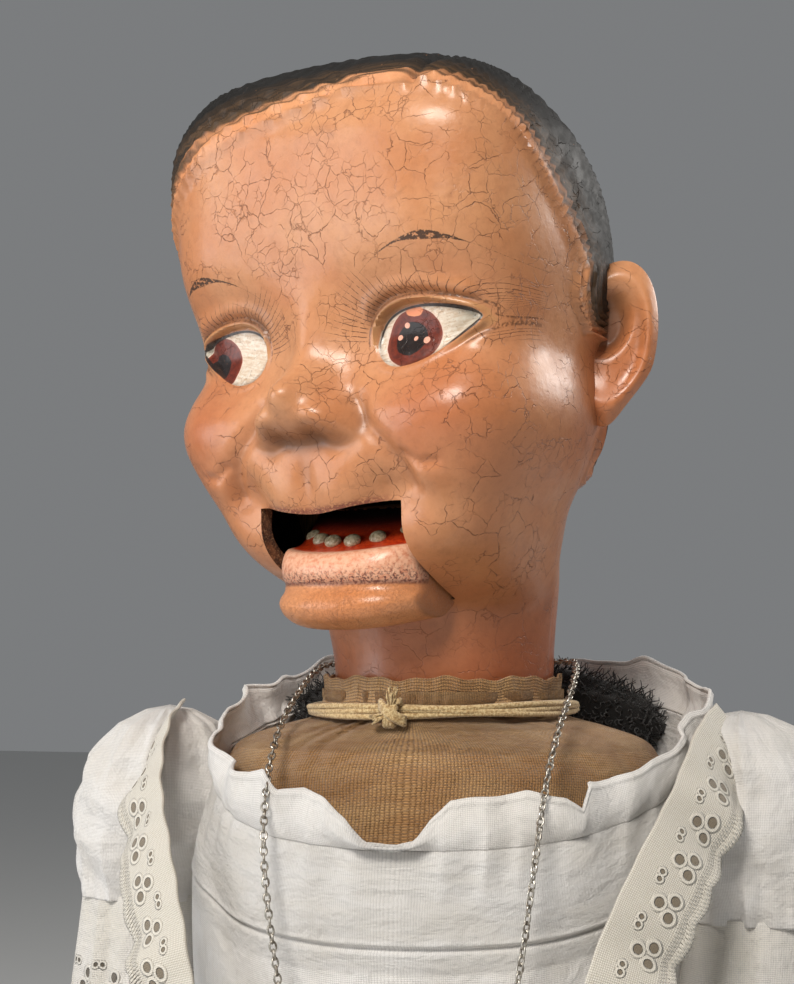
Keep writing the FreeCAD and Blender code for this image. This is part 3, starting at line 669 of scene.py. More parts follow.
def jaw(skin):
    profile = np.array(JAW_PROFILE + JAW_PROFILE[:1], float)
    run = np.concatenate([[0], np.cumsum(np.hypot(*np.diff(profile, axis=0).T))])
    columns, rows = 90, 190

    def place(across, along):
        x = (across / (columns - 1) * 2 - 1)
        s = along / (rows - 1) * run[-1]
        y, z = through(run, profile[:, 0], s), through(run, profile[:, 1], s)
        edge = np.abs(x)
        wide = np.sin(edge * math.pi / 2) ** 0.86
        front = ease(-20, -46, y)
        bend = (0.55 * wide ** 2 + 0.45 * wide ** 7) * 13.0 * front
        rise = 2.6 * wide ** 2 * front * ease(12, 22, z)
        chin = 3.4 * wide ** 2.6 * front * ease(14, 4, z)
        tuck = 1 - 0.035 * ease(0.86, 1.0, edge)
        y = -25 + (y + 25) * tuck + bend
        z = 18 + (z - 18) * tuck + rise + chin
        return np.stack([np.sign(x) * JAW_HALF * wide, y, z], -1)

    bm = grid_mesh(columns, rows, place, 0.01, lambda across,
                   along: {"profile": along / (rows - 1) * run[-1] / 100})
    bmesh.ops.holes_fill(bm, edges=[e for e in bm.edges if e.is_boundary])
    obj = piece_from(bm, "jaw_painted", skin, sharp=60, outward=True)
    points = points_of(obj.data)
    add_mask(obj.data, "hair", np.full(len(points), -0.5))
    add_mask(obj.data, "grime_and_shade", np.zeros(len(points)))
    set_points(obj.data, head_to_row(points))
    return obj


def teeth(paint):
    """Six small pegs set in an arc on the jaw's block."""
    bm = bmesh.new()
    for x in (-15.5, -10.0, -4.0, 2.8, 9.6, 16.0):
        y = -43.6 + 0.026 * x * x
        z = 26.0 + 0.009 * x * x
        made = bmesh.ops.create_uvsphere(bm, u_segments=20, v_segments=12, radius=1)
        place = (Matrix.Translation((x, y, z)) @ Matrix.Rotation(math.radians(-35), 4, "X")
                 @ Matrix.Diagonal((2.7, 1.3, 2.0, 1)))
        bmesh.ops.transform(bm, matrix=place, verts=made["verts"])
    obj = piece_from(bm, "lower_teeth_pegs", paint)
    set_points(obj.data, head_to_row(points_of(obj.data)))
    return obj


# ---------------------------------------------------------------- paint

def craze_group():
    """Thin cracks of old paint: a broken net of lines. Place is in millimetres."""
    nodes, given, result = group("craze", {"Place": "Vector", "Cell": ("Float", 9.0),
                                           "Width": ("Float", 0.16), "Share": ("Float", 0.5)},
                                 {"Lines": "Float"})
    place = nodes.warp(nodes.warp(given["Place"], 5.0, 0.13), 1.3, 0.7)
    edge = nodes.cells(place, nodes.over(1.0, given["Cell"]), "DISTANCE_TO_EDGE")
    edge = nodes.times(edge, given["Cell"])
    uneven = nodes.times(given["Width"], nodes.span(nodes.noise(given["Place"], 0.5), 0.3, 0.7,
                                                    0.1, 1.5))
    lines = nodes.span(edge, uneven, 0.0)
    kept = nodes.noise(given["Place"], 0.085, 3.0)
    kept = nodes.span(kept, nodes.minus(1.04, given["Share"]),
                      nodes.minus(0.92, given["Share"]), 1.0, 0.0)
    nodes.feed(result["Lines"], nodes.times(lines, kept))
    return nodes.tree


def speck_group():
    """Scattered dark nicks where the paint has gone. Place is in millimetres."""
    nodes, given, result = group("specks", {"Place": "Vector", "Size": ("Float", 3.0),
                                            "Amount": ("Float", 0.5)}, {"Specks": "Float"})
    place = nodes.warp(given["Place"], 1.2, 0.9)
    dots = nodes.cells(place, nodes.over(1.0, given["Size"]))
    where = nodes.span(nodes.noise(given["Place"], 0.11, 4.0, 0.6),
                       nodes.minus(0.82, nodes.times(given["Amount"], 0.3)), 0.86)
    nodes.feed(result["Specks"], nodes.times(nodes.span(dots, 0.17, 0.09), where))
    return nodes.tree


def aged_paint_group(craze, specks):
    """Glossy flesh paint gone brown, crazed and nicked. Place is in millimetres."""
    nodes, given, result = group(
        "aged paint",
        {"Place": "Vector", "Flesh": "Color", "Warm": "Color", "Grime": ("Float", 0.0),
         "Age": ("Float", 1.0)},
        {"Color": "Color", "Roughness": "Float", "Height": "Float"})
    place = given["Place"]
    broad = nodes.noise(place, 0.035, 3.0, 0.55)
    base = nodes.mix(nodes.span(broad, 0.35, 0.68), given["Flesh"], given["Warm"])
    mottle = nodes.noise(place, 0.33, 5.0, 0.62)
    base = nodes.mix(nodes.times(nodes.span(mottle, 0.42, 0.72), 0.26), base, colour(176, 112, 74))
    stain = nodes.noise(place, 0.10, 4.0, 0.65, 0.6)
    base = nodes.mix(nodes.times(nodes.span(stain, 0.56, 0.76), 0.34), base, colour(150, 96, 62))
    wide = nodes.use(craze, Place=place, Cell=8.0, Width=0.13, Share=0.47)[0]
    fine = nodes.use(craze, Place=nodes.mapping(place, (13, 7, 5), (0.2, 0.1, 0.4)), Cell=3.6,
                     Width=0.10,
                     Share=0.44)[0]
    lines = nodes.times(nodes.most(wide, nodes.times(fine, 0.75)), given["Age"])
    nicks = nodes.use(specks, Place=place, Size=3.1, Amount=0.55)[0]
    small = nodes.use(specks, Place=nodes.mapping(place, (5, 3, 9)), Size=1.5, Amount=0.75)[0]
    nicks = nodes.times(nodes.most(nicks, small), given["Age"])
    halo = nodes.times(nodes.span(nodes.noise(place, 0.6, 3.0), 0.5, 0.8), 0.16)
    base = nodes.mix(halo, base, colour(126, 78, 52))
    # painted shade and rubbed-in soiling in creases and hollows, from the shading mask
    base = nodes.mix(nodes.times(given["Grime"], 0.8), base, colour(104, 66, 40))
    base = nodes.mix(nodes.times(lines, 0.66), base, colour(112, 58, 30))
    base = nodes.mix(nodes.times(nicks, 0.85), base, colour(62, 30, 26))
    nodes.feed(result["Color"], base)
    gloss = nodes.span(nodes.noise(place, 0.22, 4.0), 0.3, 0.75, 0.30, 0.46)
    nodes.feed(result["Roughness"], nodes.add(gloss, nodes.times(lines, 0.25),
                                              nodes.times(given["Grime"], 0.15)))
    uneven = nodes.times(nodes.noise(place, 0.45, 4.0, 0.55), 0.35)
    nodes.feed(result["Height"], nodes.add(uneven, nodes.times(lines, -0.55),
                                           nodes.times(nicks, -0.5),
                                           nodes.times(nodes.noise(place, 2.6, 2.0), 0.05)))
    return nodes.tree


def head_place(nodes):
    """Millimetres in the head's own frame."""
    return nodes.mapping(nodes.object_place(), (0, 0, -HEAD_BASE), (0, 0, -HEAD_TURN),
                         (1 / MM,) * 3)


def eye_paint(nodes, place, base):
    """The painted eyes: white, iris, pupil, lid line and lashes, laid over base."""
    x, y, z = nodes.split(place)[:3]
    front = nodes.span(y, -28, -34)
    near = nodes.math("GREATER_THAN", x, 0.0)
    side = nodes.minus(nodes.size(x), EYE[0])
    up = nodes.minus(z, EYE[1])
    c, s = math.cos(EYE_TILT), math.sin(EYE_TILT)
    u = nodes.add(nodes.times(side, c), nodes.times(up, s))
    v = nodes.add(nodes.times(side, -s), nodes.times(up, c))
    share = nodes.times(u, 1 / EYE_HALF)
    above = nodes.math("GREATER_THAN", v, 0.0)

    def reach(lid):
        return nodes.most(nodes.add(lid[0], nodes.times(share, -lid[0] * lid[1])), 1.2)

    lean = nodes.add(nodes.times(above, reach(UPPER_LID)),
                     nodes.times(nodes.minus(1.0, above), reach(LOWER_LID)))
    high = nodes.over(v, lean)
    rho = nodes.apart(share, high)
    steep = nodes.over(high, lean)
    flat = nodes.times(share, 1 / EYE_HALF)
    slope = nodes.over(nodes.apart(flat, steep),
                       nodes.most(rho, 0.01))
    out = nodes.over(nodes.minus(rho, 1.0), nodes.most(slope, 0.005))

    streaks = nodes.noise(nodes.join(nodes.times(u, 0.16), nodes.times(v, 1.5), 0.0), 1.0, 4.0,
                          0.6)
    white = nodes.mix(nodes.span(streaks, 0.35, 0.7), colour(222, 208, 190), colour(196, 168, 140))
    white = nodes.mix(nodes.times(nodes.span(nodes.noise(place, 0.9, 4.0), 0.46, 0.66), 0.5),
                      white, colour(232, 226, 214))
    # painted shade: the white greys towards the outer corner of the eye
    white = nodes.mix(nodes.times(nodes.span(u, 3, 13), 0.5), white, colour(150, 152, 138))
    dirty = nodes.times(nodes.span(nodes.noise(place, 1.7, 3.0), 0.6, 0.72), 0.5)
    white = nodes.mix(dirty, white, colour(120, 96, 72))

    middle = nodes.add(nodes.times(near, 29.2 + 38.6), -38.6)
    level = nodes.add(nodes.times(near, 1.3), 74.6)
    dx, dz = nodes.minus(x, middle), nodes.minus(z, level)
    wobble = nodes.times(nodes.minus(nodes.noise(place, 0.35), 0.5), 0.7)
    iris = nodes.add(nodes.apart(dx, dz), wobble,
                     nodes.times(near, 0.7), -1.1)
    tone = nodes.mix(nodes.span(nodes.noise(place, 0.8, 4.0), 0.3, 0.7), colour(112, 40, 20),
                     colour(84, 28, 14))
    tone = nodes.mix(nodes.times(nodes.span(iris, 6.3, 7.1), 0.45), tone, colour(142, 66, 44))
    eye = nodes.mix(nodes.span(iris, 7.75, 7.45), white, colour(224, 196, 178))
    eye = nodes.mix(nodes.span(iris, 7.45, 7.2), eye, tone)
    px, pz = nodes.add(dx, 0.8), nodes.add(dz, 0.1)
    pupil = nodes.add(nodes.apart(px, pz),
                      nodes.times(wobble, 0.9))
    dusty = nodes.mix(nodes.span(nodes.noise(place, 2.4, 2.0), 0.66, 0.74), colour(26, 16, 14),
                      colour(110, 76, 60))
    eye = nodes.mix(nodes.span(pupil, 4.55, 4.25), eye, dusty)
    for fleck_x, fleck_z, size in ((-2.6, 3.5, 0.75), (-4.4, 0.5, 0.7), (0.3, -0.1, 0.6),
                                   (3.6, -0.8, 0.85)):
        gap = nodes.apart(nodes.add(dx, -fleck_x), nodes.add(dz, -fleck_z))
        fleck = nodes.times(nodes.span(nodes.add(gap, nodes.times(wobble, 0.8)), size + 0.1,
                                       size - 0.1), near)
        eye = nodes.mix(fleck, eye, colour(232, 170, 146))
    chip_x, chip_z = nodes.add(dx, 0.2), nodes.add(dz, -6.9)
    chip = nodes.math("SQRT", nodes.add(nodes.times(chip_x, chip_x, 0.22),
                                        nodes.times(chip_z, chip_z)))
    chip = nodes.times(nodes.span(nodes.add(chip, nodes.times(wobble, 2.0)), 1.5, 1.25), near)
    eye = nodes.mix(chip, eye, colour(226, 140, 96))
    # painted shade round the edge of the eye, where it sinks under the lids
    eye = nodes.mix(nodes.times(nodes.span(out, -1.5, -0.1), 0.34), eye, colour(88, 54, 40))

    inside = nodes.times(nodes.span(out, 0.12, -0.12), front)
    painted = nodes.mix(inside, base, eye)

    lid_edge = nodes.add(v, nodes.times(u, 0.22), 0.22 * EYE_HALF - 1.0)
    upper = nodes.span(lid_edge, -2.6, -0.6)
    thick = nodes.times(nodes.span(u, -6, 11, 0.30, 0.55),
                        nodes.span(nodes.size(u), 14.4, 12.5, 0.45, 1.0))
    off = nodes.size(nodes.add(out, 0.35))
    line = nodes.times(nodes.span(off, nodes.add(thick, 0.12), nodes.minus(thick, 0.12)), upper,
                       front)
    painted = nodes.mix(nodes.times(line, 0.93), painted, colour(34, 20, 16))
    rim = nodes.times(nodes.span(nodes.away(out, 0.9), 0.8, 0.3), upper, front, 0.4)
    painted = nodes.mix(rim, painted, colour(196, 150, 98))
    # painted shade in the upper lid crease
    crease = nodes.times(nodes.span(nodes.away(out, 2.2), 0.42, 0.12), upper, front,
                         nodes.span(nodes.noise(place, 1.1, 3.0), 0.38, 0.58))
    painted = nodes.mix(nodes.times(crease, 0.75), painted, colour(84, 52, 30))

    angle = nodes.math("ARCTAN2", high, share)
    turn = nodes.add(nodes.times(angle, 12.5), nodes.times(out,
                                                           nodes.span(u, -12, 10, 0.05, -0.16)),
                     nodes.times(wobble, 0.5))
    across = nodes.size(nodes.minus(nodes.math("FRACT", turn), 0.5))
    each = nodes.math("FLOOR", turn)
    uneven = nodes.math("FRACT", nodes.times(nodes.math("SINE", nodes.times(each, 12.9)), 43.7))
    length = nodes.add(nodes.span(u, -8, -15, 4.2, 11.0), nodes.times(uneven, 1.6))
    along = nodes.over(nodes.add(out, -2.8), length)
    width = nodes.times(nodes.minus(1.0, along), nodes.span(u, -12, 6, 0.16, 0.13))
    stroke = nodes.times(nodes.span(across, width, nodes.times(width, 0.35)),
                         nodes.span(along, -0.03, 0.05),
                         nodes.span(along, 1.0, 0.6), nodes.span(lid_edge, -1.0, 1.0), front)
    worn = nodes.span(nodes.noise(place, 1.3, 3.0), 0.34, 0.5)
    return nodes.mix(nodes.times(stroke, worn, 0.86), painted, colour(50, 28, 18))


def brow_paint(nodes, place, base):
    """Thin black brows, worn through in the middle."""
    x, y, z = nodes.split(place)[:3]
    side = nodes.size(x)
    near = nodes.math("GREATER_THAN", x, 0.0)
    peak = nodes.add(nodes.times(near, 2.1), 97.4)
    lean = nodes.add(side, -37.0)
    level = nodes.add(peak, nodes.times(lean, lean, -0.018))
    off = nodes.size(nodes.minus(z, level))
    gap = nodes.add(side, -38.5)
    thick = nodes.add(0.16, nodes.times(0.95, nodes.math("EXPONENT",
                                                         nodes.times(gap, gap, -0.030))))
    thick = nodes.times(thick, nodes.span(side, 22.5, 27), nodes.span(side, 49.5, 45))
    edge = nodes.times(nodes.minus(nodes.noise(place, 2.2, 3.0), 0.5), 0.5)
    stroke = nodes.span(nodes.add(off, edge), nodes.add(thick, 0.12), nodes.minus(thick, 0.14))
    worn = nodes.span(nodes.noise(nodes.mapping(place, scale=(0.5, 0.5, 1)), 1.6, 4.0, 0.6), 0.60,
                      0.52)
    worn = nodes.most(worn, nodes.span(thick, 0.5, 0.2))
    return nodes.mix(nodes.times(stroke, worn, nodes.span(y, -28, -34), 0.95), base,
                     colour(22, 15, 13))


def hair_paint(nodes, place, base):
    """Black paint brushed over the moulded hair, thin on the ridges by the hairline."""
    reach = nodes.times(nodes.mask("hair"), 20.0)
    x, _, z = nodes.split(place)[:3]
    sway = nodes.noise(place, 0.12, 3.0)
    comb = nodes.math("SINE", nodes.times(nodes.add(reach, nodes.times(sway, 2.0)),
                                          2 * math.pi / 3.1))
    strand = nodes.noise(nodes.join(nodes.times(reach, 1.3), nodes.times(x, 0.06),
                                    nodes.times(z, 0.06)), 1.0, 5.0, 0.7)
    cover = nodes.add(nodes.span(reach, 0.5, 10.0, -0.1, 1.2), nodes.times(comb, -0.22),
                      nodes.times(nodes.minus(strand, 0.5), 0.75))
    cover = nodes.span(cover, 0.18, 0.82)
    brown = nodes.mix(nodes.span(strand, 0.35, 0.7), colour(44, 32, 20), colour(92, 66, 40))
    dark = nodes.mix(nodes.span(reach, 6, 17), brown, colour(21, 18, 15))
    edge = nodes.times(nodes.span(reach, -0.8, 0.6), nodes.span(reach, 2.6, 0.8), 0.34)
    base = nodes.mix(edge, base, colour(126, 84, 56))
    worn = nodes.times(nodes.span(nodes.noise(place, 0.5, 5.0, 0.7), 0.66, 0.74), 0.55)
    return nodes.mix(nodes.times(cover, nodes.minus(1.0, worn)), base, dark)


def head_skin(aged):
    made, nodes, shader = finish("painted_composition_head", Coat_Roughness=0.2,
                                 Specular_IOR_Level=0.42)
    place = head_place(nodes)
    x, y, z = nodes.split(place)[:3]
    side = nodes.size(x)
    paint = nodes.use(aged, Place=place, Flesh=colour(220, 156, 110), Warm=colour(208, 136, 88),
                      Grime=nodes.mask("grime_and_shade"), Age=nodes.span(z, 0, 14, 0.45, 1.0))
    cheek_x, cheek_z = nodes.add(side, -38.0), nodes.add(z, -56.0)
    blush = nodes.math("EXPONENT", nodes.times(nodes.add(nodes.times(cheek_x, cheek_x),
                                                         nodes.times(cheek_z, cheek_z)),
                                               -1 / 220))
    base = nodes.mix(nodes.times(blush, 0.38), paint["Color"], colour(216, 134, 104), "MULTIPLY")
    # darker and more orange towards the neck: partly a warmer paint, partly painted shade under
    # the jaw
    base = nodes.mix(nodes.times(nodes.span(z, 22, -8), 0.62), base, colour(196, 128, 82),
                     "MULTIPLY")
    # painted shade: darker towards the sides and back of the face, below the hair
    base = nodes.mix(nodes.times(nodes.span(y, -34, 4), nodes.span(z, 110, 60), 0.42), base,
                     colour(196, 142, 100),
                     "MULTIPLY")
    lip_height = nodes.add(SLOT_TOP - 2.9, nodes.times(x, x, 2.9 / 430))
    lip = nodes.times(nodes.span(nodes.minus(z, lip_height),
                                 nodes.add(1.9, nodes.times(nodes.noise(place, 0.8, 3.0), 0.6)),
                                 0.8),
                      nodes.span(side, 23, 17), nodes.span(y, -44, -47), nodes.span(z, 28, 30))
    base = nodes.mix(nodes.times(lip, nodes.span(nodes.noise(place, 1.4, 3.0), 0.36, 0.55), 0.85),
                     base, colour(128, 54, 44))
    base = brow_paint(nodes, place, base)
    base = hair_paint(nodes, place, base)
    base = eye_paint(nodes, place, base)
    nodes.feed(shader["Base Color"], base)
    haired = nodes.span(nodes.times(nodes.mask("hair"), 20.0), 1.0, 6.0)
    nodes.feed(shader["Roughness"], nodes.add(paint["Roughness"], nodes.times(haired, 0.22)))
    nodes.feed(shader["Coat Weight"], nodes.times(nodes.minus(1.0, haired), 0.26))
    nodes.feed(shader["Normal"], nodes.bump(paint["Height"], 0.00035))
    return made


def jaw_skin(aged):
    made, nodes, shader = finish("painted_composition_jaw", Coat_Weight=0.25, Coat_Roughness=0.18,
                                 Specular_IOR_Level=0.4)
    place = head_place(nodes)
    x = nodes.split(place)[0]
    run = nodes.times(nodes.mask("profile"), 100.0)
    paint = nodes.use(aged, Place=place, Flesh=colour(216, 146, 98), Warm=colour(204, 130, 80),
                      Grime=0.0, Age=0.5)
    base = paint["Color"]
    blotch = nodes.noise(place, 0.9, 4.0, 0.65)
    lip = nodes.mix(nodes.span(blotch, 0.4, 0.7), colour(232, 178, 146), colour(214, 138, 104))
    maroon = nodes.times(nodes.span(nodes.noise(place, 1.5, 5.0, 0.65), 0.50, 0.58),
                         nodes.span(nodes.add(run, nodes.times(blotch, 6)), 31.5, 36))
    lip = nodes.mix(nodes.times(maroon, 0.9), lip, colour(92, 36, 36))
    base = nodes.mix(nodes.times(nodes.span(run, 34.4, 33.4), nodes.span(run, 20.0, 22.0)), base,
                     lip)
    # painted shade: a dark line in the groove under the lower lip
    line = nodes.times(nodes.span(nodes.away(run, 33.6), 0.9, 0.2), 0.6)
    base = nodes.mix(line, base, colour(96, 48, 34))
    red = nodes.mix(nodes.span(blotch, 0.35, 0.65), colour(222, 74, 26), colour(186, 46, 20))
    # painted shade: the mouth floor darkens to near black towards the back of the mouth
    red = nodes.mix(nodes.span(run, 15.5, 7.0), red, colour(70, 16, 12))
    red = nodes.mix(nodes.span(run, 9.5, 3.0), red, colour(12, 8, 7))
    edge = nodes.add(run, nodes.times(nodes.minus(blotch, 0.5), 4.0))
    base = nodes.mix(nodes.span(edge, 23.0, 21.6), base, red)
    hidden = nodes.span(nodes.size(x), JAW_HALF - 1.2, JAW_HALF - 0.3)
    base = nodes.mix(nodes.times(hidden, 0.5), base, colour(104, 62, 38))
    nodes.feed(shader["Base Color"], base)
    nodes.feed(shader["Roughness"], paint["Roughness"])
    nodes.feed(shader["Normal"], nodes.bump(nodes.add(paint["Height"], nodes.times(maroon, -0.3)),
                                            0.0003))
    return made


def raw_composition(dark=1.0):
    made, nodes, shader = finish("raw_composition" if dark > 0.5 else "shaded_composition")
    place = nodes.millimetres()
    grain = nodes.noise(place, 0.5, 6.0, 0.7)
    base = nodes.mix(nodes.span(grain, 0.35, 0.65), colour(132 * dark, 84 * dark, 52 * dark),
                     colour(66 * dark, 40 * dark, 26 * dark))
    nodes.feed(shader["Base Color"], nodes.mix(nodes.times(nodes.span(nodes.noise(place, 1.9, 3.0),
                                                                      0.55, 0.68), 0.8),
                                               base, colour(170 * dark, 130 * dark, 90 * dark)))
    nodes.feed(shader["Roughness"], nodes.span(grain, 0.3, 0.7, 0.75, 0.95))
    nodes.feed(shader["Normal"], nodes.bump(grain, 0.0012))
    return made


def tooth_paint():
    made, nodes, shader = finish("tooth_paint", Coat_Weight=0.2)
    place = nodes.millimetres()
    grain = nodes.noise(place, 1.2, 4.0)
    nodes.feed(shader["Base Color"], nodes.mix(nodes.span(grain, 0.35, 0.7), colour(206, 192, 158),
                                               colour(150, 128, 92)))
    nodes.feed(shader["Roughness"], nodes.span(grain, 0.3, 0.7, 0.35, 0.5))
    nodes.feed(shader["Normal"], nodes.bump(grain, 0.0002))
    return made


# ---------------------------------------------------------------- the body and its cloth

ARM_ACROSS, ARM_BACK = 86.0, 2.0
LEG_ACROSS, LEG_HEIGHT = 36.0, 30.2
EYELET_STEP = 12.0              # from one cluster of eyelets to the next

# height, half width, front, back, squareness of the stuffed body, in millimetres
BODY_STATIONS = np.array([
    (2.4, 61, 50, 52, 2.8), (40, 62, 50, 54, 2.8), (90, 59, 47, 50, 2.6), (140, 56, 46, 46, 2.5),
    (190, 58, 48, 43, 2.5), (240, 61, 50, 40, 2.5), (268, 61, 45, 38, 2.5), (278, 60, 42, 37, 2.5),
    (283.5, 54, 39, 36, 2.4), (286.5, 44, 36.5, 35.5, 2.2), (288.6, 36, 35.5, 35.5, 2.0),
    (295, 34, 34, 34, 2.0)])
NECKLINE = dict(half=66.0, front=55.5, back=51.0, power=2.6)
# how far the gathered neckline stands above its seam, by the place across the front
NECKLINE_RISE = [(-75, 12), (-52, 12), (-40, 14), (-35, 17), (-31, 12), (-25, 14), (-18, 12),
                 (-11, 8), (-6, 2.2), (1, 1.2), (6, 2.5), (10, 8), (15, 12.5), (24, 13),
                 (34, 13.5),
                 (42, 11), (46, 7), (48.5, 13), (54, 11.5), (60, 12), (75, 12)]


def oval(turn, half, front, back, power):
    """A squared oval round the upright axis; turn is 0 at +X and a quarter at the back."""
    c, s = np.cos(turn), np.sin(turn)
    x = half * np.sign(c) * np.abs(c) ** (2 / power)
    y = np.where(s < 0, -front, back) * np.abs(s) ** (2 / power)
    return x, y


def body_at(turn, height, grow):
    """The stuffed body's surface, grown outwards by grow."""
    half, front, back, power = (through(BODY_STATIONS[:, 0], BODY_STATIONS[:, k], height)
                                for k in (1, 2, 3, 4))
    x, y = oval(turn, half + grow, front + grow, back + grow, power)
    return np.stack([x, y, height + 0.6 * grow * ease(262, 280, height)], -1)


def neckline_at(turn):
    """The seam under the gathered neckline: low in front, high behind the neck."""
    x, y = oval(turn, **NECKLINE)
    x = x + 5.5 * np.abs(np.cos(turn))
    z = 284.5 + 0.479 * y - 0.004 * np.maximum(0, y - 10) ** 2 - 9 * ease(-15, 25, y)
    return np.stack([x, y, z], -1)


def outward(turn):
    return np.stack([np.cos(turn), np.sin(turn), 0 * turn], -1)


def cloth_tube(name, materials, columns, rows, place, length, thick=0.8):
    """A sheet wrapped round: place(turn, share) gives millimetre points, where turn runs once
    round and share from one end to the other; length is the cloth's size between the ends."""
    def spot(across, along):
        return place(across / (columns - 1) * 2 * math.pi, along / (rows - 1))

    def masks(across, along):
        turn = across / (columns - 1) * 2 * math.pi
        return {"around_x": np.cos(turn), "around_y": np.sin(turn),
                "run": along / (rows - 1) * length}

    bm = grid_mesh(columns, rows, spot, merge=0.003, masks=masks)
    obj = piece_from(bm, name, *materials, outward=True)
    set_points(obj.data, points_of(obj.data) * MM)
    if thick:
        made = obj.modifiers.new("thickness", "SOLIDIFY")
        made.thickness, made.offset = thick * MM, -1
        baked(obj)
    return obj


def gathers(turn, count, seed=0.0):
    """Uneven sharp-backed folds, -1 to 1, about count of them round."""
    loose = count ** -0.5
    wander = (turn + 0.35 * loose * np.sin(5 * turn + seed)
              + 0.2 * loose * np.sin(11 * turn + 2 * seed))
    wave = np.sin(count * wander + seed)
    uneven = 0.65 + 0.35 * np.sin(3 * turn + 1.7 * seed + 1.0) * np.cos(7 * turn + seed)
    return (1 - 2 * np.abs(np.sin((count * wander + seed) / 2)) ** 0.8) * uneven * 0.7 + 0.3 * wave


def muslin_body(muslin):
    """Stuffed body: flat seat, full sides, pleats drawn in under the neck tie."""
    def place(turn, share):
        height = np.interp(share, [0, 0.06, 0.5, 0.72, 0.8, 0.93, 1],
                           [2.4, 2.4, 240, 281, 286.5, 291, 296.5])
        close = ease(-0.005, 0.06, share)
        points = body_at(turn, np.minimum(height, 294.9), 0.0)
        points[:, :2] *= np.where(share < 0.06, close, 1)[:, None]
        points[:, 2] = np.where(height > 294, height, points[:, 2])
        puff = 0.8 * hump(height - 287.5, 2.6) - 0.9 * hump(height - 291.2, 1.8)
        near = ease(262, 290, height)
        front = np.angle(np.exp(1j * (turn + math.pi / 2)))
        pleats = 0
        for where, width, deep in ((-0.5, 0.05, 2.0), (-0.36, 0.04, 1.6), (-0.62, 0.06, 1.5),
                                   (0.75, 0.07, 1.2), (1.1, 0.06, 1.4), (-1.2, 0.08, 1.6),
                                   (1.9, 0.07, 1.5), (2.5, 0.06, 1.4), (-2.0, 0.07, 1.6)):
            pleats = pleats - deep * hump(front - where - 0.002 * (290 - height), width)
        small = 0.35 * gathers(turn, 46, 1.0) * ease(280, 290, height)
        slack = 0.7 * np.sin(3 * turn + height / 23) * np.sin(height / 31 + 2 * turn)
        return points + outward(turn) * (puff + near * pleats + small + slack * (1 - near))[:,
                                                                                            None]

    obj = cloth_tube("muslin_body", [muslin], 260, 200, place, 360, thick=0)
    return obj


def muslin_collar(muslin):
    """The raw edge of the muslin, turned up above the tie in small pleats."""
    def place(turn, share):
        radius = 34.4 - 1.5 * ease(0, 0.55, share) + 0.5 * share ** 2
        radius = radius + 0.28 * gathers(turn, 50, 2.0) * (0.3 + share)
        height = 290.5 + 9.5 * share + share * (0.5 * np.sin(9 * turn + 1)
                                                + 0.35 * np.sin(23 * turn))
        return outward(turn) * radius[:, None] + np.stack([0 * turn, 0 * turn, height], -1)

    return cloth_tube("muslin_collar", [muslin], 300, 12, place, 9.5, thick=0.6)


def tube_along(bm, path, radius, sides=6, caps=True):
    """Adds a round tube along millimetre points to bm."""
    path = np.asarray(path, float)
    radius = np.broadcast_to(radius, len(path))
    along = np.gradient(path, axis=0)
    along /= np.linalg.norm(along, axis=1)[:, None]
    aid = np.array([0.21, 0.35, 0.91])
    across = np.cross(along, aid)
    across /= np.linalg.norm(across, axis=1)[:, None]
    up = np.cross(across, along)
    rings = []
    for centre, size, a, b in zip(path, radius, across, up):
        rings.append([bm.verts.new((centre + size * (math.cos(t) * a + math.sin(t) * b)) * MM)
                      for t in np.arange(sides) * 2 * math.pi / sides])
    for first, second in zip(rings[:-1], rings[1:]):
        for i in range(sides):
            bm.faces.new((first[i], first[(i + 1) % sides], second[(i + 1) % sides], second[i]))
    if caps:
        bm.faces.new(rings[0][::-1])
        bm.faces.new(rings[-1])


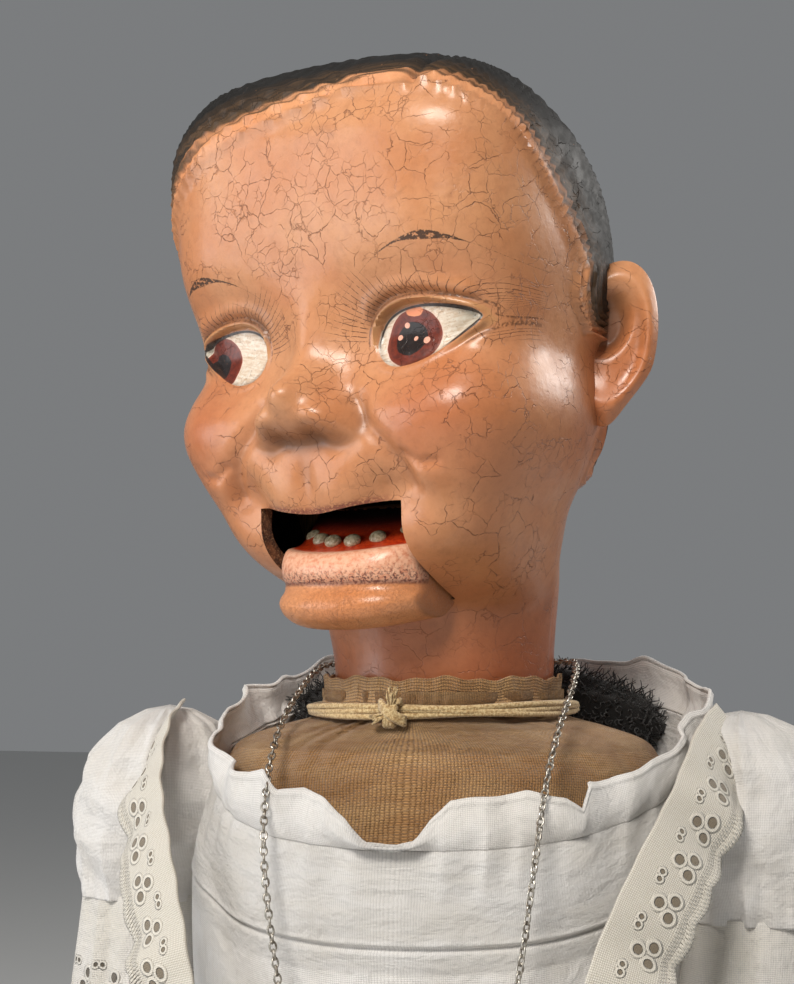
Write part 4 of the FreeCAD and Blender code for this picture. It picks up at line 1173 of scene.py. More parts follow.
def neck_tie(twine):
    """Flat cotton twine of loose strands, knotted in front, with two frayed ends."""
    bm = bmesh.new()
    knot_turn = -math.pi / 2 - 0.11
    for strand in range(6):
        turn = np.linspace(0, 2 * math.pi, 150)
        level = (strand % 3 - 1) * 1.05
        outer = 0.35 if strand < 3 else -0.5
        radius = 36.9 + outer + 0.3 * np.sin(5 * turn + strand)
        height = 291.2 + level + 0.35 * np.sin(4 * turn + 1.9 * strand) + 1.6 * np.cos(turn
                                                                                       + 0.5) * 0.4
        path = np.stack([radius * np.cos(turn), radius * np.sin(turn), height], -1)
        path[-1] = path[0]
        tube_along(bm, path, 0.82, 7)
    front = np.array([37.9 * math.cos(knot_turn), 37.9 * math.sin(knot_turn), 291.2])
    side = np.array([-math.sin(knot_turn), math.cos(knot_turn), 0])
    out = np.array([math.cos(knot_turn), math.sin(knot_turn), 0])
    up = np.array([0, 0, 1.0])
    turn = np.linspace(0, 2 * math.pi, 22)
    for strand in range(3):
        offset = (strand - 1) * 0.95
        loop = (front + out * (0.6 + 1.7 * np.cos(turn))[:, None]
                + up * (3.3 * np.sin(turn))[:, None]
                + side * (offset + 0.9 * np.sin(turn))[:, None])
        tube_along(bm, loop, 0.85, 7)
        cross = np.linspace(-1, 1, 14)
        bow = (front + out * (2.6 * (1 - cross ** 2) + 0.3)[:, None]
               + side * (3.4 * cross)[:, None]
               + up * (-2.2 * cross + 0.8 * offset)[:, None])
        tube_along(bm, bow, 0.85, 7)
    ends = ((side * 0.1 + up * 1.0, 6.5, 0.5), (-side * 1.0 - up * 0.35, 5.4, 1.1))
    for direction, length, seed in ends:
        for hair in range(26):
            fan = 0.34 * math.sin(hair * 2.4 + seed), 0.34 * math.cos(hair * 3.7 + seed)
            step = np.linspace(0, 1, 7)
            reach = length * (0.8 + 0.25 * math.sin(hair * 5.1))
            curl = 0.5 * np.sin(step * 4 + hair)
            path = (front + out * (1.9 + 0.8 * step + fan[0] * 0.9)[:, None]
                    + direction * (step * reach)[:, None]
                    + np.cross(direction, out) * (fan[1] * (0.8 + 2.6 * step ** 1.5)
                                                  + curl * step * 0.5)[:, None]
                    + out * (fan[0] * 2.4 * step ** 1.5)[:, None])
            tube_along(bm, path, 0.33 * (1 - 0.5 * step), 4)
    return piece_from(bm, "neck_tie", twine, outward=True)


def wool_pad(wool):
    """Shaggy black wool stuffed behind the neck: a lumpy pad covered in short curls."""
    centre, radii = np.array([0, 34.0, 286]), np.array([57, 11.0, 17])
    bm = bmesh.new()
    bmesh.ops.create_uvsphere(bm, u_segments=96, v_segments=48, radius=1)
    for vertex in bm.verts:
        p = np.array(vertex.co)
        lump = 1 + 0.05 * math.sin(9 * p[0] + 4 * p[2]) * math.cos(8 * p[2] + 5 * p[1])
        vertex.co = (centre + p * radii * lump) * MM
    rng = np.random.default_rng(7)
    for i in range(2600):
        level = 1 - 2 * (i + 0.5) / 2600
        angle = i * 2.39996
        flat = math.sqrt(1 - level * level)
        p = np.array([flat * math.cos(angle), flat * math.sin(angle), level])
        start = centre + p * radii * 0.98
        if math.hypot(start[0], start[1]) < 38:
            continue
        normal = p / radii
        normal /= np.linalg.norm(normal)
        sway = rng.normal(size=3)
        sway -= normal * sway.dot(normal)
        sway /= np.linalg.norm(sway)
        step = np.linspace(0, 1, 5)
        length = rng.uniform(2.0, 5.2)
        bend = rng.uniform(2.5, 6)
        other = np.cross(normal, sway)
        path = (start + normal * (length * step)[:, None]
                + sway * (0.9 * np.sin(bend * step))[:, None]
                + other * (0.9 * (1 - np.cos(bend * step)))[:, None])
        tube_along(bm, path, 0.30 * (1 - 0.6 * step), 3, caps=False)
    return piece_from(bm, "wool_pad", wool, outward=False)


def blouse(cotton):
    """The blouse from the hem to the seam under the neckline, gathered at the top."""
    def place(turn, share):
        seam = neckline_at(turn)
        join = seam[:, 2] - 30 + 8 * ease(0, 30, seam[:, 1])
        height = 76 + (np.minimum(join, 262) - 76) * np.minimum(share / 0.68, 1)
        low = body_at(turn, height, 6.2)
        low[:, 1] += 2.4 * ease(20, 40, low[:, 1])
        up = np.clip((share - 0.68) / 0.32, 0, 1)[:, None]
        points = low * (1 - up) + seam * up
        rise = np.clip(share, 0, 1)
        tuck = 1.15 * gathers(turn, 34, 0.7) * ease(0.80, 0.98, rise) ** 1.5
        drape = (2.3 * np.sin(7 * turn + 2.2 * share + 0.6 * np.sin(2 * turn))
                 + 1.3 * np.sin(12 * turn + 3 * share)) * (0.35 + 0.65 * ease(0.75, 0.0, share))
        drape = drape * ease(1.0, 0.8, share)
        belly = 3.2 * up[:, 0] * (1 - up[:, 0]) * 2.0
        yoke = -1.3 * hump(share - 0.745, 0.008) + 0.5 * hump(share - 0.757, 0.007)
        hem = 0.8 * hump(share - 0.0, 0.006) + 0.35 * hump(share - 0.045, 0.004)
        return points + outward(turn) * (tuck + drape + belly + yoke + hem)[:, None]

    return cloth_tube("blouse", [cotton], 420, 230, place, 195, thick=0.9)


def neckline_band(cotton):
    """The gathered casing: a puffed band whose free edge rises and dips."""
    def place(turn, share):
        seam = neckline_at(turn)
        table = np.array(NECKLINE_RISE, float)
        in_front = ease(6, -14, seam[:, 1])
        rise = np.interp(seam[:, 0], table[:, 0], table[:, 1]) * in_front
        rise = rise + (12 + 1.2 * np.sin(9 * turn) + 0.8 * np.sin(17 * turn)) * (1 - in_front)
        short = ease(12, 2, rise)
        fold = gathers(turn, 34, 0.7)
        out = (1.1 * fold * ease(0.5, 0.0, share) + (1.7 + short * 2.2)
               * np.sin(math.pi * share ** 0.8)
               + share * (1.6 * np.sin(11 * turn + 0.5) + 1.1 * np.sin(19 * turn + 2))
               + 0.5 * fold * share + 0.5 * hump(share - 0.9, 0.05))
        lean = ease(-30, 30, seam[:, 1]) * 2.0 * share
        points = seam + outward(turn) * (out + lean)[:, None]
        points[:, 2] += rise * share + 0.25 * np.sin(31 * turn) * share
        return points

    return cloth_tube("neckline_band", [cotton], 620, 34, place, 12, thick=0.9)


def strip(name, material, path, width, columns=150, rows=26, lift=1.6, frill=1.0, sideways=1):
    """A lace strip along a path over the cloth, one edge lightly frilled."""
    path = np.array(path, float)
    place_at = np.concatenate([[0], np.cumsum(np.linalg.norm(np.diff(path, axis=0), axis=1))])
    length = place_at[-1]

    def spot(across, along):
        u = across / (columns - 1) * length
        v = along / (rows - 1)
        centre = np.stack([through(place_at, path[:, k], u) for k in range(3)], -1)
        ahead = np.stack([through(place_at, path[:, k],
                                  np.minimum(u + 1, length)) for k in range(3)], -1)
        back = np.stack([through(place_at, path[:, k], np.maximum(u - 1, 0)) for k in range(3)],
                        -1)
        tangent = ahead - back
        tangent /= np.linalg.norm(tangent, axis=1)[:, None]
        normal = centre * [0.55, 1.0, 0] + [0, 0, 26.0]
        normal /= np.linalg.norm(normal, axis=1)[:, None]
        wide = np.cross(tangent, normal) * sideways
        wide /= np.linalg.norm(wide, axis=1)[:, None]
        scallop = 1.3 * np.abs(np.sin(math.pi * u / 11)) * ease(0.7, 1, v)
        ripple_ = frill * v * (1.3 * np.sin(u / 4.3) + 0.8 * np.sin(u / 2.7 + 1))
        sag = -0.9 * (v - 0.4) ** 2
        return (centre + wide * ((v - 0.5) * width + scallop)[:, None]
                + normal * (lift + ripple_ + 3 * sag + 0.35 * np.sin(u / 1.9) * (1 - v))[:, None])

    def masks(across, along):
        return {"along": across / (columns - 1) * length,
                "across": (1 - along / (rows - 1)) * width}

    bm = grid_mesh(columns, rows, spot, merge=1e-4, masks=masks)
    obj = piece_from(bm, name, material)
    set_points(obj.data, points_of(obj.data) * MM)
    made = obj.modifiers.new("thickness", "SOLIDIFY")
    made.thickness, made.offset = 0.7 * MM, 0
    return baked(obj)


def flounce(name, material, centre, axis_turn, low, high, narrow, wide, count, around):
    """A gathered eyelet frill round a limb, scalloped on its free edge. The limb's axis is Z,
    turned to -Y where axis_turn is true; low is the free edge."""
    def place(turn, share):
        radius = wide + (narrow - wide) * share
        fold = gathers(turn, count, centre[0] * 0.1)
        radius = radius + fold * (2.1 * (1 - share) + 0.7 * share)
        scallop = 1.4 * np.abs(np.sin(around * turn / 2)) * (1 - share) ** 2
        along = low + (high - low) * share - np.sign(high - low) * scallop
        a, b = radius * np.cos(turn), radius * np.sin(turn)
        if axis_turn:
            return np.stack([centre[0] + a, along, np.maximum(centre[2] + b, 0.4)], -1)
        return np.stack([centre[0] + a, centre[1] + b, along], -1)

    return cloth_tube(name, [material], 260, 36, place, abs(high - low), thick=0.7)


def sleeve(side, cotton):
    """A short puffed sleeve, drawn in at the shoulder seam and at its lower edge."""
    x, y = 85.5 * side, 1.0

    def place(turn, share):
        height = np.interp(share, [0, 0.45, 0.7, 0.85, 0.95, 1],
                           [237, 262, 277, 286, 290.0, 291.2])
        radius = np.interp(share, [0, 0.06, 0.3, 0.5, 0.7, 0.85, 0.95, 1],
                           [21.0, 21.6, 24.6, 24.2, 20.5, 14, 6.5, 0])
        depth = 2.0 * ease(0.5, 0, share) + 1.3 * ease(0.35, 0.75, share)
        fold = gathers(turn, 13, 1.3 + side) * depth
        radius = radius + fold * ease(1.0, 0.9, share)
        crease = 1.3 * np.sin(2 * turn + height / 6.5) * np.sin(height / 5 + 3 * turn)
        radius = radius + crease * ease(1, 0.8, share)
        return np.stack([x + radius * np.cos(turn) * 1.02 - 3 * side * ease(0.6, 1, share),
                         y + radius * np.sin(turn) * 1.05, height], -1)

    return cloth_tube("sleeve_cloth_" + ("left" if side > 0 else "right"), [cotton], 220, 120,
                      place, 62, thick=0.8)


def limb(name, muslin, x, axis_y, stations, columns=110, rows=190, lying=False):
    """A stuffed muslin limb with a stitched fold at its joint, closed at both ends. Stations
    are (place along, radius, flatness); a lying limb runs along -Y."""
    stations = np.array(stations, float)
    run = np.concatenate([[0], np.cumsum(np.hypot(*np.diff(stations[:, :2], axis=0).T))])

    def place(turn, share):
        along, radius, flat = (np.interp(share * run[-1], run, stations[:, k]) for k in range(3))
        radius = radius * (1 + 0.012 * np.sin(3 * turn + along / 17)
                           + 0.01 * np.sin(5 * turn - along / 9))
        a, b = radius * np.cos(turn), radius * np.sin(turn) * flat
        if lying:
            return np.stack([x + a, along, axis_y + b], -1)
        return np.stack([x + a, axis_y + b, along], -1)

    return cloth_tube(name, [muslin], columns, rows, place, run[-1], thick=0)


def dome(end, start, radius, steps=6):
    """Stations of a rounded end from the tip at end to the full radius at start."""
    share = np.linspace(0, math.pi / 2, steps)
    return [(end + (start - end) * (1 - math.cos(a)), max(radius * math.sin(a), 0),
             1) for a in share]


def bloomers_seat(cotton):
    """The seat of the bloomers: flat underneath, full round the hips, drawn in at the waist."""
    def place(turn, share):
        height = np.interp(share, [0, 0.3, 0.36, 0.9, 1], [1.0, 1.2, 5.0, 88, 95.5])
        size = np.interp(share, [0, 0.3], [0.0, 1.0])
        points = body_at(turn, np.maximum(height, 2.5), 2.6 - 1.0 * ease(80, 92, height))
        points[:, :2] *= np.where(share < 0.3, size, 1)[:, None]
        points[:, 2] = height
        fold = (1.1 * gathers(turn, 26, 0.3) * ease(40, 92, height)
                + 1.0 * np.sin(8 * turn + height / 16) * ease(2, 30, height))
        return points + outward(turn) * (fold * ease(0.3, 0.42, share))[:, None]

    return cloth_tube("bloomers_seat_cloth", [cotton], 300, 110, place, 160, thick=0.8)


def bloomers_leg(side, cotton):
    """One loose leg of the bloomers, drawn in where its lace is sewn on."""
    x, z = LEG_ACROSS * side, LEG_HEIGHT

    def place(turn, share):
        along = -12 - 96 * share
        radius = 28.6 - 1.2 * ease(0.92, 1, share)
        fold = gathers(turn, 17, side) * (0.5 + 0.9 * ease(0.4, 1, share))
        fold = fold + 0.6 * np.sin(3 * turn + along / 11)
        radius = radius + fold
        a, b = radius * np.cos(turn), radius * np.sin(turn)
        keep = np.where(x * side > 0, np.maximum((x + a) * side, 1.5) * side, 0)
        return np.stack([keep, along, np.maximum(z + b, 0.4)], -1)

    return cloth_tube("bloomers_leg_cloth_" + ("left" if side > 0 else "right"), [cotton], 200,
                      100, place, 96, thick=0.8)


# ---------------------------------------------------------------- the necklace

CHAIN_ROUTE = [
    (3.6, 38.6, 303.0), (20, 34, 303.4), (33, 20, 304.0), (38, 3, 303.6), (39.6, -20, 296),
    (39.4, -38, 288), (38.6, -52, 276), (37.6, -63.5, 256), (34, -65, 229), (27.5, -64, 203),
    (18, -62.5, 181), (6.5, -61.8, 169), (-5.5, -61.8, 168.6), (-15.5, -62.6, 179),
    (-22, -64, 203), (-26.5, -65, 228), (-31, -63, 254), (-34, -53, 273),
    (-35.5, -38, 287.5), (-36, -20, 296), (-37, 2, 303), (-32, 20, 303.8),
    (-20, 34, 303.2), (-3.6, 38.6, 303.0)]
LINK_STEP = 1.95
LINK_LONG, LINK_WIDE, WIRE = 1.28, 0.82, 0.30
LINK_PARTS, WIRE_PARTS = 10, 5


def smooth_route(route):
    """Points along the NURBS curve that has the route as its control points."""
    curve = bpy.data.curves.new("route", "CURVE")
    curve.dimensions, curve.resolution_u = "3D", 24
    spline = curve.splines.new("NURBS")
    spline.points.add(len(route) - 1)
    for point, place in zip(spline.points, route):
        point.co = (*place, 1)
    spline.order_u, spline.use_endpoint_u = 3, True
    obj = bpy.data.objects.new("route", curve)
    mesh = bpy.data.meshes.new_from_object(obj)
    points = points_of(mesh)
    bpy.data.objects.remove(obj)
    bpy.data.curves.remove(curve)
    bpy.data.meshes.remove(mesh)
    return points


def necklace(silver):
    """A fine cable chain: small oval wire links, each turned a quarter from the last."""
    route = smooth_route(CHAIN_ROUTE)
    place_at = np.concatenate([[0], np.cumsum(np.linalg.norm(np.diff(route, axis=0), axis=1))])
    bm = bmesh.new()
    count = int(place_at[-1] / LINK_STEP)
    for i in range(count):
        middle = (i + 0.5) * place_at[-1] / count
        here = np.array([np.interp(middle, place_at, route[:, k]) for k in range(3)])
        ahead = np.array([np.interp(min(middle + 0.6, place_at[-1]), place_at,
                                    route[:, k]) for k in range(3)])
        tangent = (ahead - here) / np.linalg.norm(ahead - here)
        away = np.array([here[0] * 0.6, here[1], 12.0])
        across = np.cross(tangent, away)
        across /= np.linalg.norm(across)
        up = np.cross(across, tangent)
        lean = math.radians(45 if i % 2 else -45) + 0.25 * math.sin(i * 1.7)
        wide = across * math.cos(lean) + up * math.sin(lean)
        flat = np.cross(tangent, wide)
        turn = np.arange(LINK_PARTS) * 2 * math.pi / LINK_PARTS
        rings = []
        for t in turn:
            centre = here + tangent * LINK_LONG * math.cos(t) + wide * LINK_WIDE * math.sin(t)
            normal = tangent * LINK_WIDE * math.cos(t) + wide * LINK_LONG * math.sin(t)
            normal /= np.linalg.norm(normal)
            rings.append([bm.verts.new((centre + WIRE
                                        * (normal * math.cos(s) + flat * math.sin(s))) * MM)
                          for s in np.arange(WIRE_PARTS) * 2 * math.pi / WIRE_PARTS])
        for k in range(LINK_PARTS):
            first, second = rings[k], rings[(k + 1) % LINK_PARTS]
            for s in range(WIRE_PARTS):
                bm.faces.new((first[s], second[s], second[(s + 1) % WIRE_PARTS],
                              first[(s + 1) % WIRE_PARTS]))
    return piece_from(bm, "necklace_links", silver, outward=True)


# ---------------------------------------------------------------- cloth and metal finishes

def weave_group():
    """Over-and-under threads: Around and Run count half threads in radians."""
    nodes, given, result = group("plain_weave", {"Around": "Float", "Run": "Float"},
                                 {"Height": "Float"})
    a, b = nodes.math("SINE", given["Around"]), nodes.math("SINE", given["Run"])
    over = nodes.math("MULTIPLY_ADD", nodes.times(a, b), 1.6, 0.5, clamp=True)
    first = nodes.times(nodes.size(a), over)
    second = nodes.times(nodes.size(b), nodes.minus(1.0, over))
    nodes.feed(result["Height"], nodes.most(first, second))
    return nodes.tree


def eyelet_group():
    """Embroidered eyelets: three holes to a cluster, stitched rims and a worked edge."""
    nodes, given, result = group("eyelet_work", {"Along": "Float", "Across": "Float"},
                                 {"Hole": "Float", "Raised": "Float"})
    local = nodes.minus(nodes.math("WRAP", given["Along"], EYELET_STEP, 0.0), EYELET_STEP / 2)
    nearest = None
    for x, y in ((-2.2, 7.0), (2.2, 7.0), (0.0, 10.6)):
        far = nodes.apart(nodes.add(local, -x), nodes.add(given["Across"], -y))
        nearest = far if nearest is None else nodes.least(nearest, far)
    side = nodes.apart(nodes.add(nodes.size(local), -5.0),
                       nodes.add(given["Across"], -13.0))
    small = nodes.span(side, 0.75, 0.45)
    hole = nodes.most(nodes.span(nearest, 1.35, 1.1), small)
    rim = nodes.times(nodes.span(nearest, 2.5, 1.9), nodes.span(nearest, 1.1, 1.4))
    rim = nodes.most(rim, nodes.times(nodes.span(side, 1.5, 1.1), nodes.span(side, 0.5, 0.7)))
    edge = nodes.span(given["Across"], 2.6, 1.4)
    nodes.feed(result["Hole"], hole)
    nodes.feed(result["Raised"], nodes.most(rim, edge))
    return nodes.tree


def wrapped_place(nodes, radius):
    """Millimetre coordinates of a wrapped cloth, and the turn round it."""
    x, y, run = nodes.mask("around_x"), nodes.mask("around_y"), nodes.mask("run")
    return nodes.join(nodes.times(x, radius), nodes.times(y, radius), run), nodes.math("ARCTAN2",
                                                                                       y, x), run


def woven(name, weave, radius, pitch, light, dark, stain, relief, eyelets=None, clusters=0):
    """Woven cloth wrapped round something of that radius, threads a pitch apart."""
    made, nodes, shader = finish(name, Roughness=0.88, Sheen_Weight=0.25, Sheen_Roughness=0.5)
    shader["Specular IOR Level"].default_value = 0.25
    place, turn, run = wrapped_place(nodes, radius)
    threads = int(math.pi * radius / pitch)
    uneven = nodes.noise(place, 0.35, 3.0)
    height = nodes.use(weave, Around=nodes.add(nodes.times(turn, threads),
                                               nodes.times(uneven, 2.0)),
                       Run=nodes.add(nodes.times(run, math.pi / pitch),
                                     nodes.times(uneven, 2.0)))["Height"]
    slub = nodes.noise(nodes.mapping(place, scale=(1, 1, 0.12)), 1.6, 3.0, 0.6)
    cloud = nodes.noise(place, 0.045, 4.0, 0.6)
    base = nodes.mix(nodes.span(cloud, 0.36, 0.66), light, stain)
    # painted shade in the hollows between the threads
    base = nodes.mix(nodes.times(nodes.span(height, 0.75, 0.25), 0.75), base, dark)
    base = nodes.mix(nodes.times(nodes.span(slub, 0.55, 0.72), 0.35), base, dark)
    bump = nodes.bump(height, relief * 0.001)
    creases = nodes.noise(nodes.warp(place, 14.0, 0.03), 0.07, 4.0, 0.55)
    bump = nodes.bump(creases, 0.006, bump, 0.55)
    if eyelets:
        work = nodes.use(eyelets, Along=nodes.times(turn, clusters * EYELET_STEP / (2 * math.pi)),
                         Across=run)
        base = nodes.mix(nodes.times(work["Raised"], 0.5), base, light)
        # the holes are not cut: painted shade stands for what is seen through them
        base = nodes.mix(work["Hole"], base, colour(96, 88, 76))
        bump = nodes.bump(nodes.minus(work["Raised"], work["Hole"]), 0.0006, bump)
    nodes.feed(shader["Base Color"], base)
    nodes.feed(shader["Normal"], bump)
    return made


def strip_lace(weave, eyelets):
    """Eyelet lace for the flat strips over the shoulder seams."""
    made, nodes, shader = finish("eyelet_strip", Roughness=0.88, Sheen_Weight=0.3)
    along, across = nodes.mask("along"), nodes.mask("across")
    place = nodes.join(along, across, 0.0)
    work = nodes.use(eyelets, Along=along, Across=across)
    height = nodes.use(weave, Around=nodes.times(along, math.pi / 0.5),
                       Run=nodes.times(across, math.pi / 0.5))["Height"]
    fuzz = nodes.noise(place, 1.3, 4.0, 0.65)
    # painted shade in the hollows between the threads
    base = nodes.mix(nodes.span(height, 0.8, 0.3), colour(226, 221, 210), colour(186, 179, 166))
    base = nodes.mix(nodes.times(nodes.span(fuzz, 0.5, 0.7), 0.35), base, colour(196, 184, 160))
    base = nodes.mix(nodes.times(work["Raised"], 0.6), base, colour(235, 229, 216))
    # the holes are not cut: painted shade stands for what is seen through them
    base = nodes.mix(work["Hole"], base, colour(128, 116, 98))
    nodes.feed(shader["Base Color"], base)
    bump = nodes.bump(height, 0.00012)
    thread = nodes.math("SINE", nodes.times(nodes.add(along, nodes.times(across, 0.4)), 7.0))
    bump = nodes.bump(nodes.times(thread, nodes.span(across, 4.4, 3.6)), 0.0002, bump)
    bump = nodes.bump(nodes.minus(work["Raised"], work["Hole"]), 0.0006, bump)
    nodes.feed(shader["Normal"], bump)
    return made


def fibre(name, light, dark, roughness=0.85, grain=3.0):
    """Twine, wool and other plain fibrous finishes."""
    made, nodes, shader = finish(name, Roughness=roughness, Sheen_Weight=0.3)
    place = nodes.millimetres()
    noise = nodes.noise(place, grain, 4.0, 0.6)
    nodes.feed(shader["Base Color"], nodes.mix(nodes.span(noise, 0.35, 0.65), light, dark))
    nodes.feed(shader["Normal"], nodes.bump(noise, 0.0004))
    return made


def metal(name, light, dark, roughness=0.3):
    """Worn metal with a little tarnish in patches."""
    made, nodes, shader = finish(name, Metallic=1.0)
    place = nodes.millimetres()
    tarnish = nodes.noise(place, 0.6, 5.0, 0.6)
    nodes.feed(shader["Base Color"], nodes.mix(nodes.span(tarnish, 0.4, 0.68), light, dark))
    nodes.feed(shader["Roughness"], nodes.span(tarnish, 0.35, 0.7, roughness, roughness + 0.25))
    nodes.feed(shader["Normal"], nodes.bump(nodes.noise(place, 4.0, 3.0), 0.00005))
    return made


def wood():
    """Plain softwood fittings inside the head."""
    made, nodes, shader = finish("wood_fittings", Roughness=0.6)
    place = nodes.millimetres()
    grain = nodes.noise(nodes.mapping(place, scale=(1, 1, 0.08)), 0.9, 5.0, 0.6, 1.5)
    nodes.feed(shader["Base Color"], nodes.mix(nodes.span(grain, 0.35, 0.65), colour(172, 128, 80),
                                               colour(112, 74, 42)))
    nodes.feed(shader["Normal"], nodes.bump(grain, 0.0003))
    return made


def gloss_paint(name, light, dark, roughness):
    """Hard shiny paint with dust and rubbed patches: shoes and buttons."""
    made, nodes, shader = finish(name, Coat_Weight=0.3, Coat_Roughness=0.2)
    place = nodes.millimetres()
    wear = nodes.noise(place, 0.12, 6.0, 0.65)
    nodes.feed(shader["Base Color"], nodes.mix(nodes.span(wear, 0.5, 0.72), light, dark))
    nodes.feed(shader["Roughness"], nodes.span(wear, 0.35, 0.7, roughness, roughness + 0.25))
    nodes.feed(shader["Normal"], nodes.bump(wear, 0.0006))
    return made




# ---------------------------------------------------------------- room

def studio():
    """Pale floor and soft lights; the camera, low and to the dummy's left of the front, is set up
    in camera().
    """
    reach = 4.0
    bm = bmesh.new()
    bmesh.ops.create_grid(bm, x_segments=1, y_segments=1, size=reach)
    floor = piece_from(bm, "floor", plain_stage())
    set_points(floor.data, points_of(floor.data) - [0, 0, 0.0005])

    def area(name, place, aim, size, power, tint=(1, 1, 1)):
        light = bpy.data.lights.new(name, "AREA")
        light.shape, light.size, light.energy, light.color = "DISK", size, power, tint
        obj = bpy.data.objects.new(name, light)
        obj.location = place
        obj.rotation_euler = (Vector(aim) - Vector(place)).to_track_quat("-Z", "Y").to_euler()
        bpy.context.scene.collection.objects.link(obj)

    face = (0, -0.02, 0.38)
    area("key_softbox", (-0.15, -1.05, 1.15), face, 0.55, 17, (1.0, 0.95, 0.88))
    area("fill_softbox", (-1.1, -0.55, 0.45), face, 0.9, 6, (0.95, 0.97, 1.0))
    area("rim_softbox", (0.9, 0.7, 0.9), face, 0.6, 7, (1.0, 0.97, 0.93))
    world = bpy.data.worlds.new("room")
    world.use_nodes = True
    world.node_tree.nodes["Background"].inputs["Color"].default_value = (0.36, 0.37, 0.38, 1)
    world.node_tree.nodes["Background"].inputs["Strength"].default_value = 0.55
    bpy.context.scene.world = world


def plain_stage():
    made, _, shader = finish("pale_floor")
    shader["Base Color"].default_value = (0.62, 0.62, 0.61, 1)
    shader["Roughness"].default_value = 0.8
    return made


def camera():
    data = bpy.data.cameras.new("camera")
    obj = bpy.data.objects.new("camera", data)
    bpy.context.scene.collection.objects.link(obj)
    data.lens, data.sensor_width = 63.4, 36
    data.clip_start, data.clip_end = 0.05, 20
    obj.location = (0.11446, -0.47662, HEAD_BASE * MM)
    obj.rotation_euler = (math.radians(90 + 4.89), 0, math.radians(15))
    bpy.context.scene.camera = obj


# ---------------------------------------------------------------- putting it together

SIDES = {"left": 1, "right": -1}


def dress(node, material):
    """Gives a kept model node its finish."""
    obj = bpy.data.objects[node]
    if not obj.material_slots:
        obj.data.materials.append(material)
    for used in obj.material_slots:
        used.material = material


def build_head(aged):
    skin, raw, inside = head_skin(aged), raw_composition(), raw_composition(0.35)
    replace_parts(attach(head_front(skin, raw, inside), "head"), "face_shell")
    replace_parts(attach(head_back(skin, raw, inside), "head"), "back_shell")
    for side in (1, -1):
        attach(ear(side, skin), "head")
    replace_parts(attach(jaw(jaw_skin(aged)), "jaw"), "jaw_shell")
    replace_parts(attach(teeth(tooth_paint()), "jaw"), "lower_teeth")


def build_body(weave, eyelets):
    tan, dark_tan, stain = colour(198, 156, 106), colour(112, 80, 46), colour(174, 128, 80)
    muslin = woven("body_muslin", weave, 58, 0.78, tan, dark_tan, stain, 0.35)
    white, shade, warm = colour(236, 234, 232), colour(196, 193, 190), colour(228, 224, 218)
    cotton = woven("blouse_cotton", weave, 62, 0.42, white, shade, warm, 0.12)
    body = muslin_body(muslin)
    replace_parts(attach(body, "torso"), "torso_bag")
    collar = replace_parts(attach(muslin_collar(muslin), "torso"), "neck_collar")
    twine = fibre("neck_twine", colour(214, 190, 142), colour(164, 130, 82), grain=1.6)
    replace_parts(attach(neck_tie(twine), "torso"), "neck_twine")
    wool = fibre("black_wool", colour(24, 22, 20), colour(8, 7, 6), 0.95)
    pad = wool_pad(wool)
    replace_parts(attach(pad, "torso"), "wool_back_pad")
    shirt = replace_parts(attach(blouse(cotton), "torso"), "blouse_body")
    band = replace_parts(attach(neckline_band(cotton), "torso"), "neckline_ruffle")
    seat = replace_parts(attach(bloomers_seat(cotton), "torso"), "bloomers_seat")
    lace = strip_lace(weave, eyelets)
    for name, side in SIDES.items():
        path = [(80 * side, -2, 284), (78 * side, -18, 280), (74 * side, -36, 266),
                (66 * side, -50, 248), (59 * side, -59, 230), (54 * side, -62, 212),
                (50 * side, -60, 200)]
        made = strip("lace_strip_" + name, lace, path, 20.0, sideways=-side)
        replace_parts(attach(made, "torso"), "lace_band_" + name)


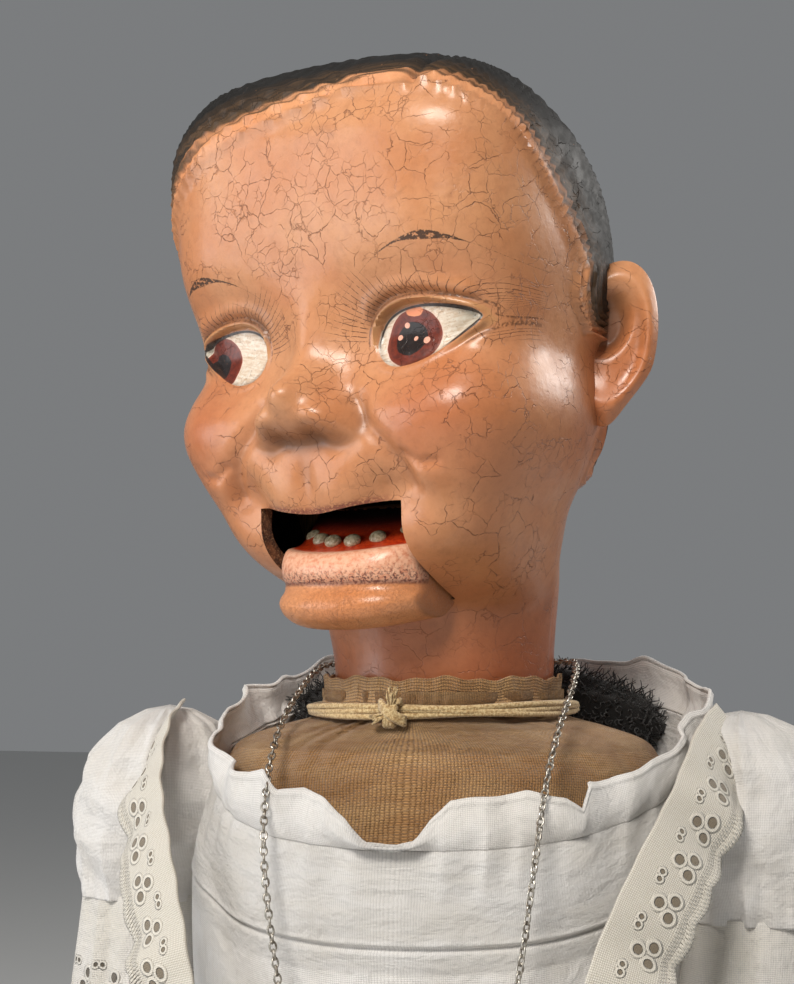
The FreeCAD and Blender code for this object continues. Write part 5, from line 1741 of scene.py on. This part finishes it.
def build_limbs(weave, eyelets):
    tan, dark_tan, stain = colour(198, 156, 106), colour(112, 80, 46), colour(176, 132, 84)
    white, shade, warm = colour(236, 234, 232), colour(196, 193, 190), colour(228, 224, 218)
    limb_muslin = woven("limb_muslin", weave, 17, 0.78, tan, dark_tan, stain, 0.35)
    sleeve_cotton = woven("sleeve_cotton", weave, 23, 0.42, white, shade, warm, 0.12)
    leg_cotton = woven("bloomers_cotton", weave, 29, 0.42, white, shade, warm, 0.12)
    arm_frill = woven("arm_eyelet", weave, 26, 0.5, colour(224, 219, 208), shade, warm, 0.15,
                      eyelets, 13)
    leg_frill = woven("leg_eyelet", weave, 29, 0.5, colour(224, 219, 208), shade, warm, 0.15,
                      eyelets, 15)
    for name, side in SIDES.items():
        arm, fore = "arm_" + name, "lower_arm_" + name
        stations = dome(283.5, 269, 14.5) + [(210, 14.6, 1), (166, 14.2, 0.95), (156, 13.2, 0.7),
                                             (150, 12.9, 0.5), (144, 12.8, 0.7), (134, 12.9, 0.96),
                                             (100, 12.4, 1), (84, 11.8, 1), (81, 10.9, 1),
                                             (79, 11.6, 1), (75.5, 12, 1), (75.2, 0, 1)]
        made = limb("arm_tube_" + name, limb_muslin, ARM_ACROSS * side, ARM_BACK,
                              stations)
        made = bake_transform(made)
        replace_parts(made, "upper_arm_" + name, "forearm_" + name)
        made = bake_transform(sleeve(side, sleeve_cotton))
        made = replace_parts(made, "sleeve_" + name)
        made = flounce("sleeve_frill_" + name, arm_frill, (ARM_ACROSS * side, ARM_BACK, 0), False,
                       206.5, 238.5,
                       21.5, 25.0, 11, 13)
        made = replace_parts(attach(made, arm), "sleeve_flounce_" + name)
        leg, lower = "leg_" + name, "lower_leg_" + name
        stations = dome(3, -22, 25.6) + [(-80, 26, 1), (-128, 25.2, 1), (-142, 22, 0.8),
                                         (-150, 20.5, 0.55), (-158, 19.5, 0.8), (-170, 19, 1),
                                         (-215, 17, 1), (-240, 15.6, 1), (-245.5, 14.2, 1),
                                         (-250, 14.6, 1), (-251.8, 13, 1), (-252, 0, 1)]
        made = limb("leg_tube_" + name, limb_muslin, LEG_ACROSS * side, LEG_HEIGHT, stations,
                    lying=True)
        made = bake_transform(made)
        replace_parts(made, "thigh_" + name, "shin_" + name)
        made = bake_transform(bloomers_leg(side, leg_cotton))
        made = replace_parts(made, "bloomers_leg_" + name)
        made = flounce("bloomers_frill_" + name, leg_frill, (LEG_ACROSS * side, 0, LEG_HEIGHT),
                       True, -127.5,
                       -107.5, 27.6, 28.6, 14, 15)
        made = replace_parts(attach(made, leg), "bloomers_lace_" + name)


def build_fittings(aged):
    silver = metal("silver_chain", colour(205, 200, 190), colour(112, 102, 90), 0.28)
    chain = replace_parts(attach(necklace(silver), "torso"), "necklace_chain")
    dress("chain_clasp", silver)
    steel = metal("steel_axle", colour(150, 148, 145), colour(92, 78, 64), 0.4)
    for node in ("jaw_axle", "jaw_lever"):
        dress(node, steel)
    dress("string_eyelet", metal("brass_eyelet", colour(196, 158, 88), colour(112, 82, 44), 0.35))
    timber = wood()
    for node in ("axle_block_left", "axle_block_right", "neck_plug"):
        dress(node, timber)
    dress("back_buttons", gloss_paint("shirt_button", colour(236, 232, 222),
                                      colour(205, 196, 176), 0.3))
    tie = fibre("limb_twine", colour(214, 190, 142), colour(164, 130, 82), grain=1.6)
    shoe = gloss_paint("black_shoe_paint", colour(26, 24, 23), colour(62, 54, 46), 0.25)
    hand = hand_skin(aged)
    for name in SIDES:
        dress("wrist_tie_" + name, tie)
        dress("ankle_tie_" + name, tie)
        dress("shoe_" + name, shoe)
        dress("hand_" + name, hand)


def hand_skin(aged):
    """The face's aged flesh paint on the hands."""
    made, nodes, shader = finish("painted_composition_hands", Coat_Weight=0.2, Coat_Roughness=0.2)
    place = nodes.millimetres()
    paint = nodes.use(aged, Place=place, Flesh=colour(218, 152, 106), Warm=colour(204, 132, 84),
                      Grime=0.05, Age=0.7)
    nodes.feed(shader["Base Color"], paint["Color"])
    nodes.feed(shader["Roughness"], paint["Roughness"])
    nodes.feed(shader["Normal"], nodes.bump(paint["Height"], 0.0003))
    return made


def build():
    camera()
    studio()
    aged = aged_paint_group(craze_group(), speck_group())
    weave, eyelets = weave_group(), eyelet_group()
    build_head(aged)
    build_body(weave, eyelets)
    build_limbs(weave, eyelets)
    build_fittings(aged)


bpy.context.scene.view_settings.view_transform = "Standard"
build()
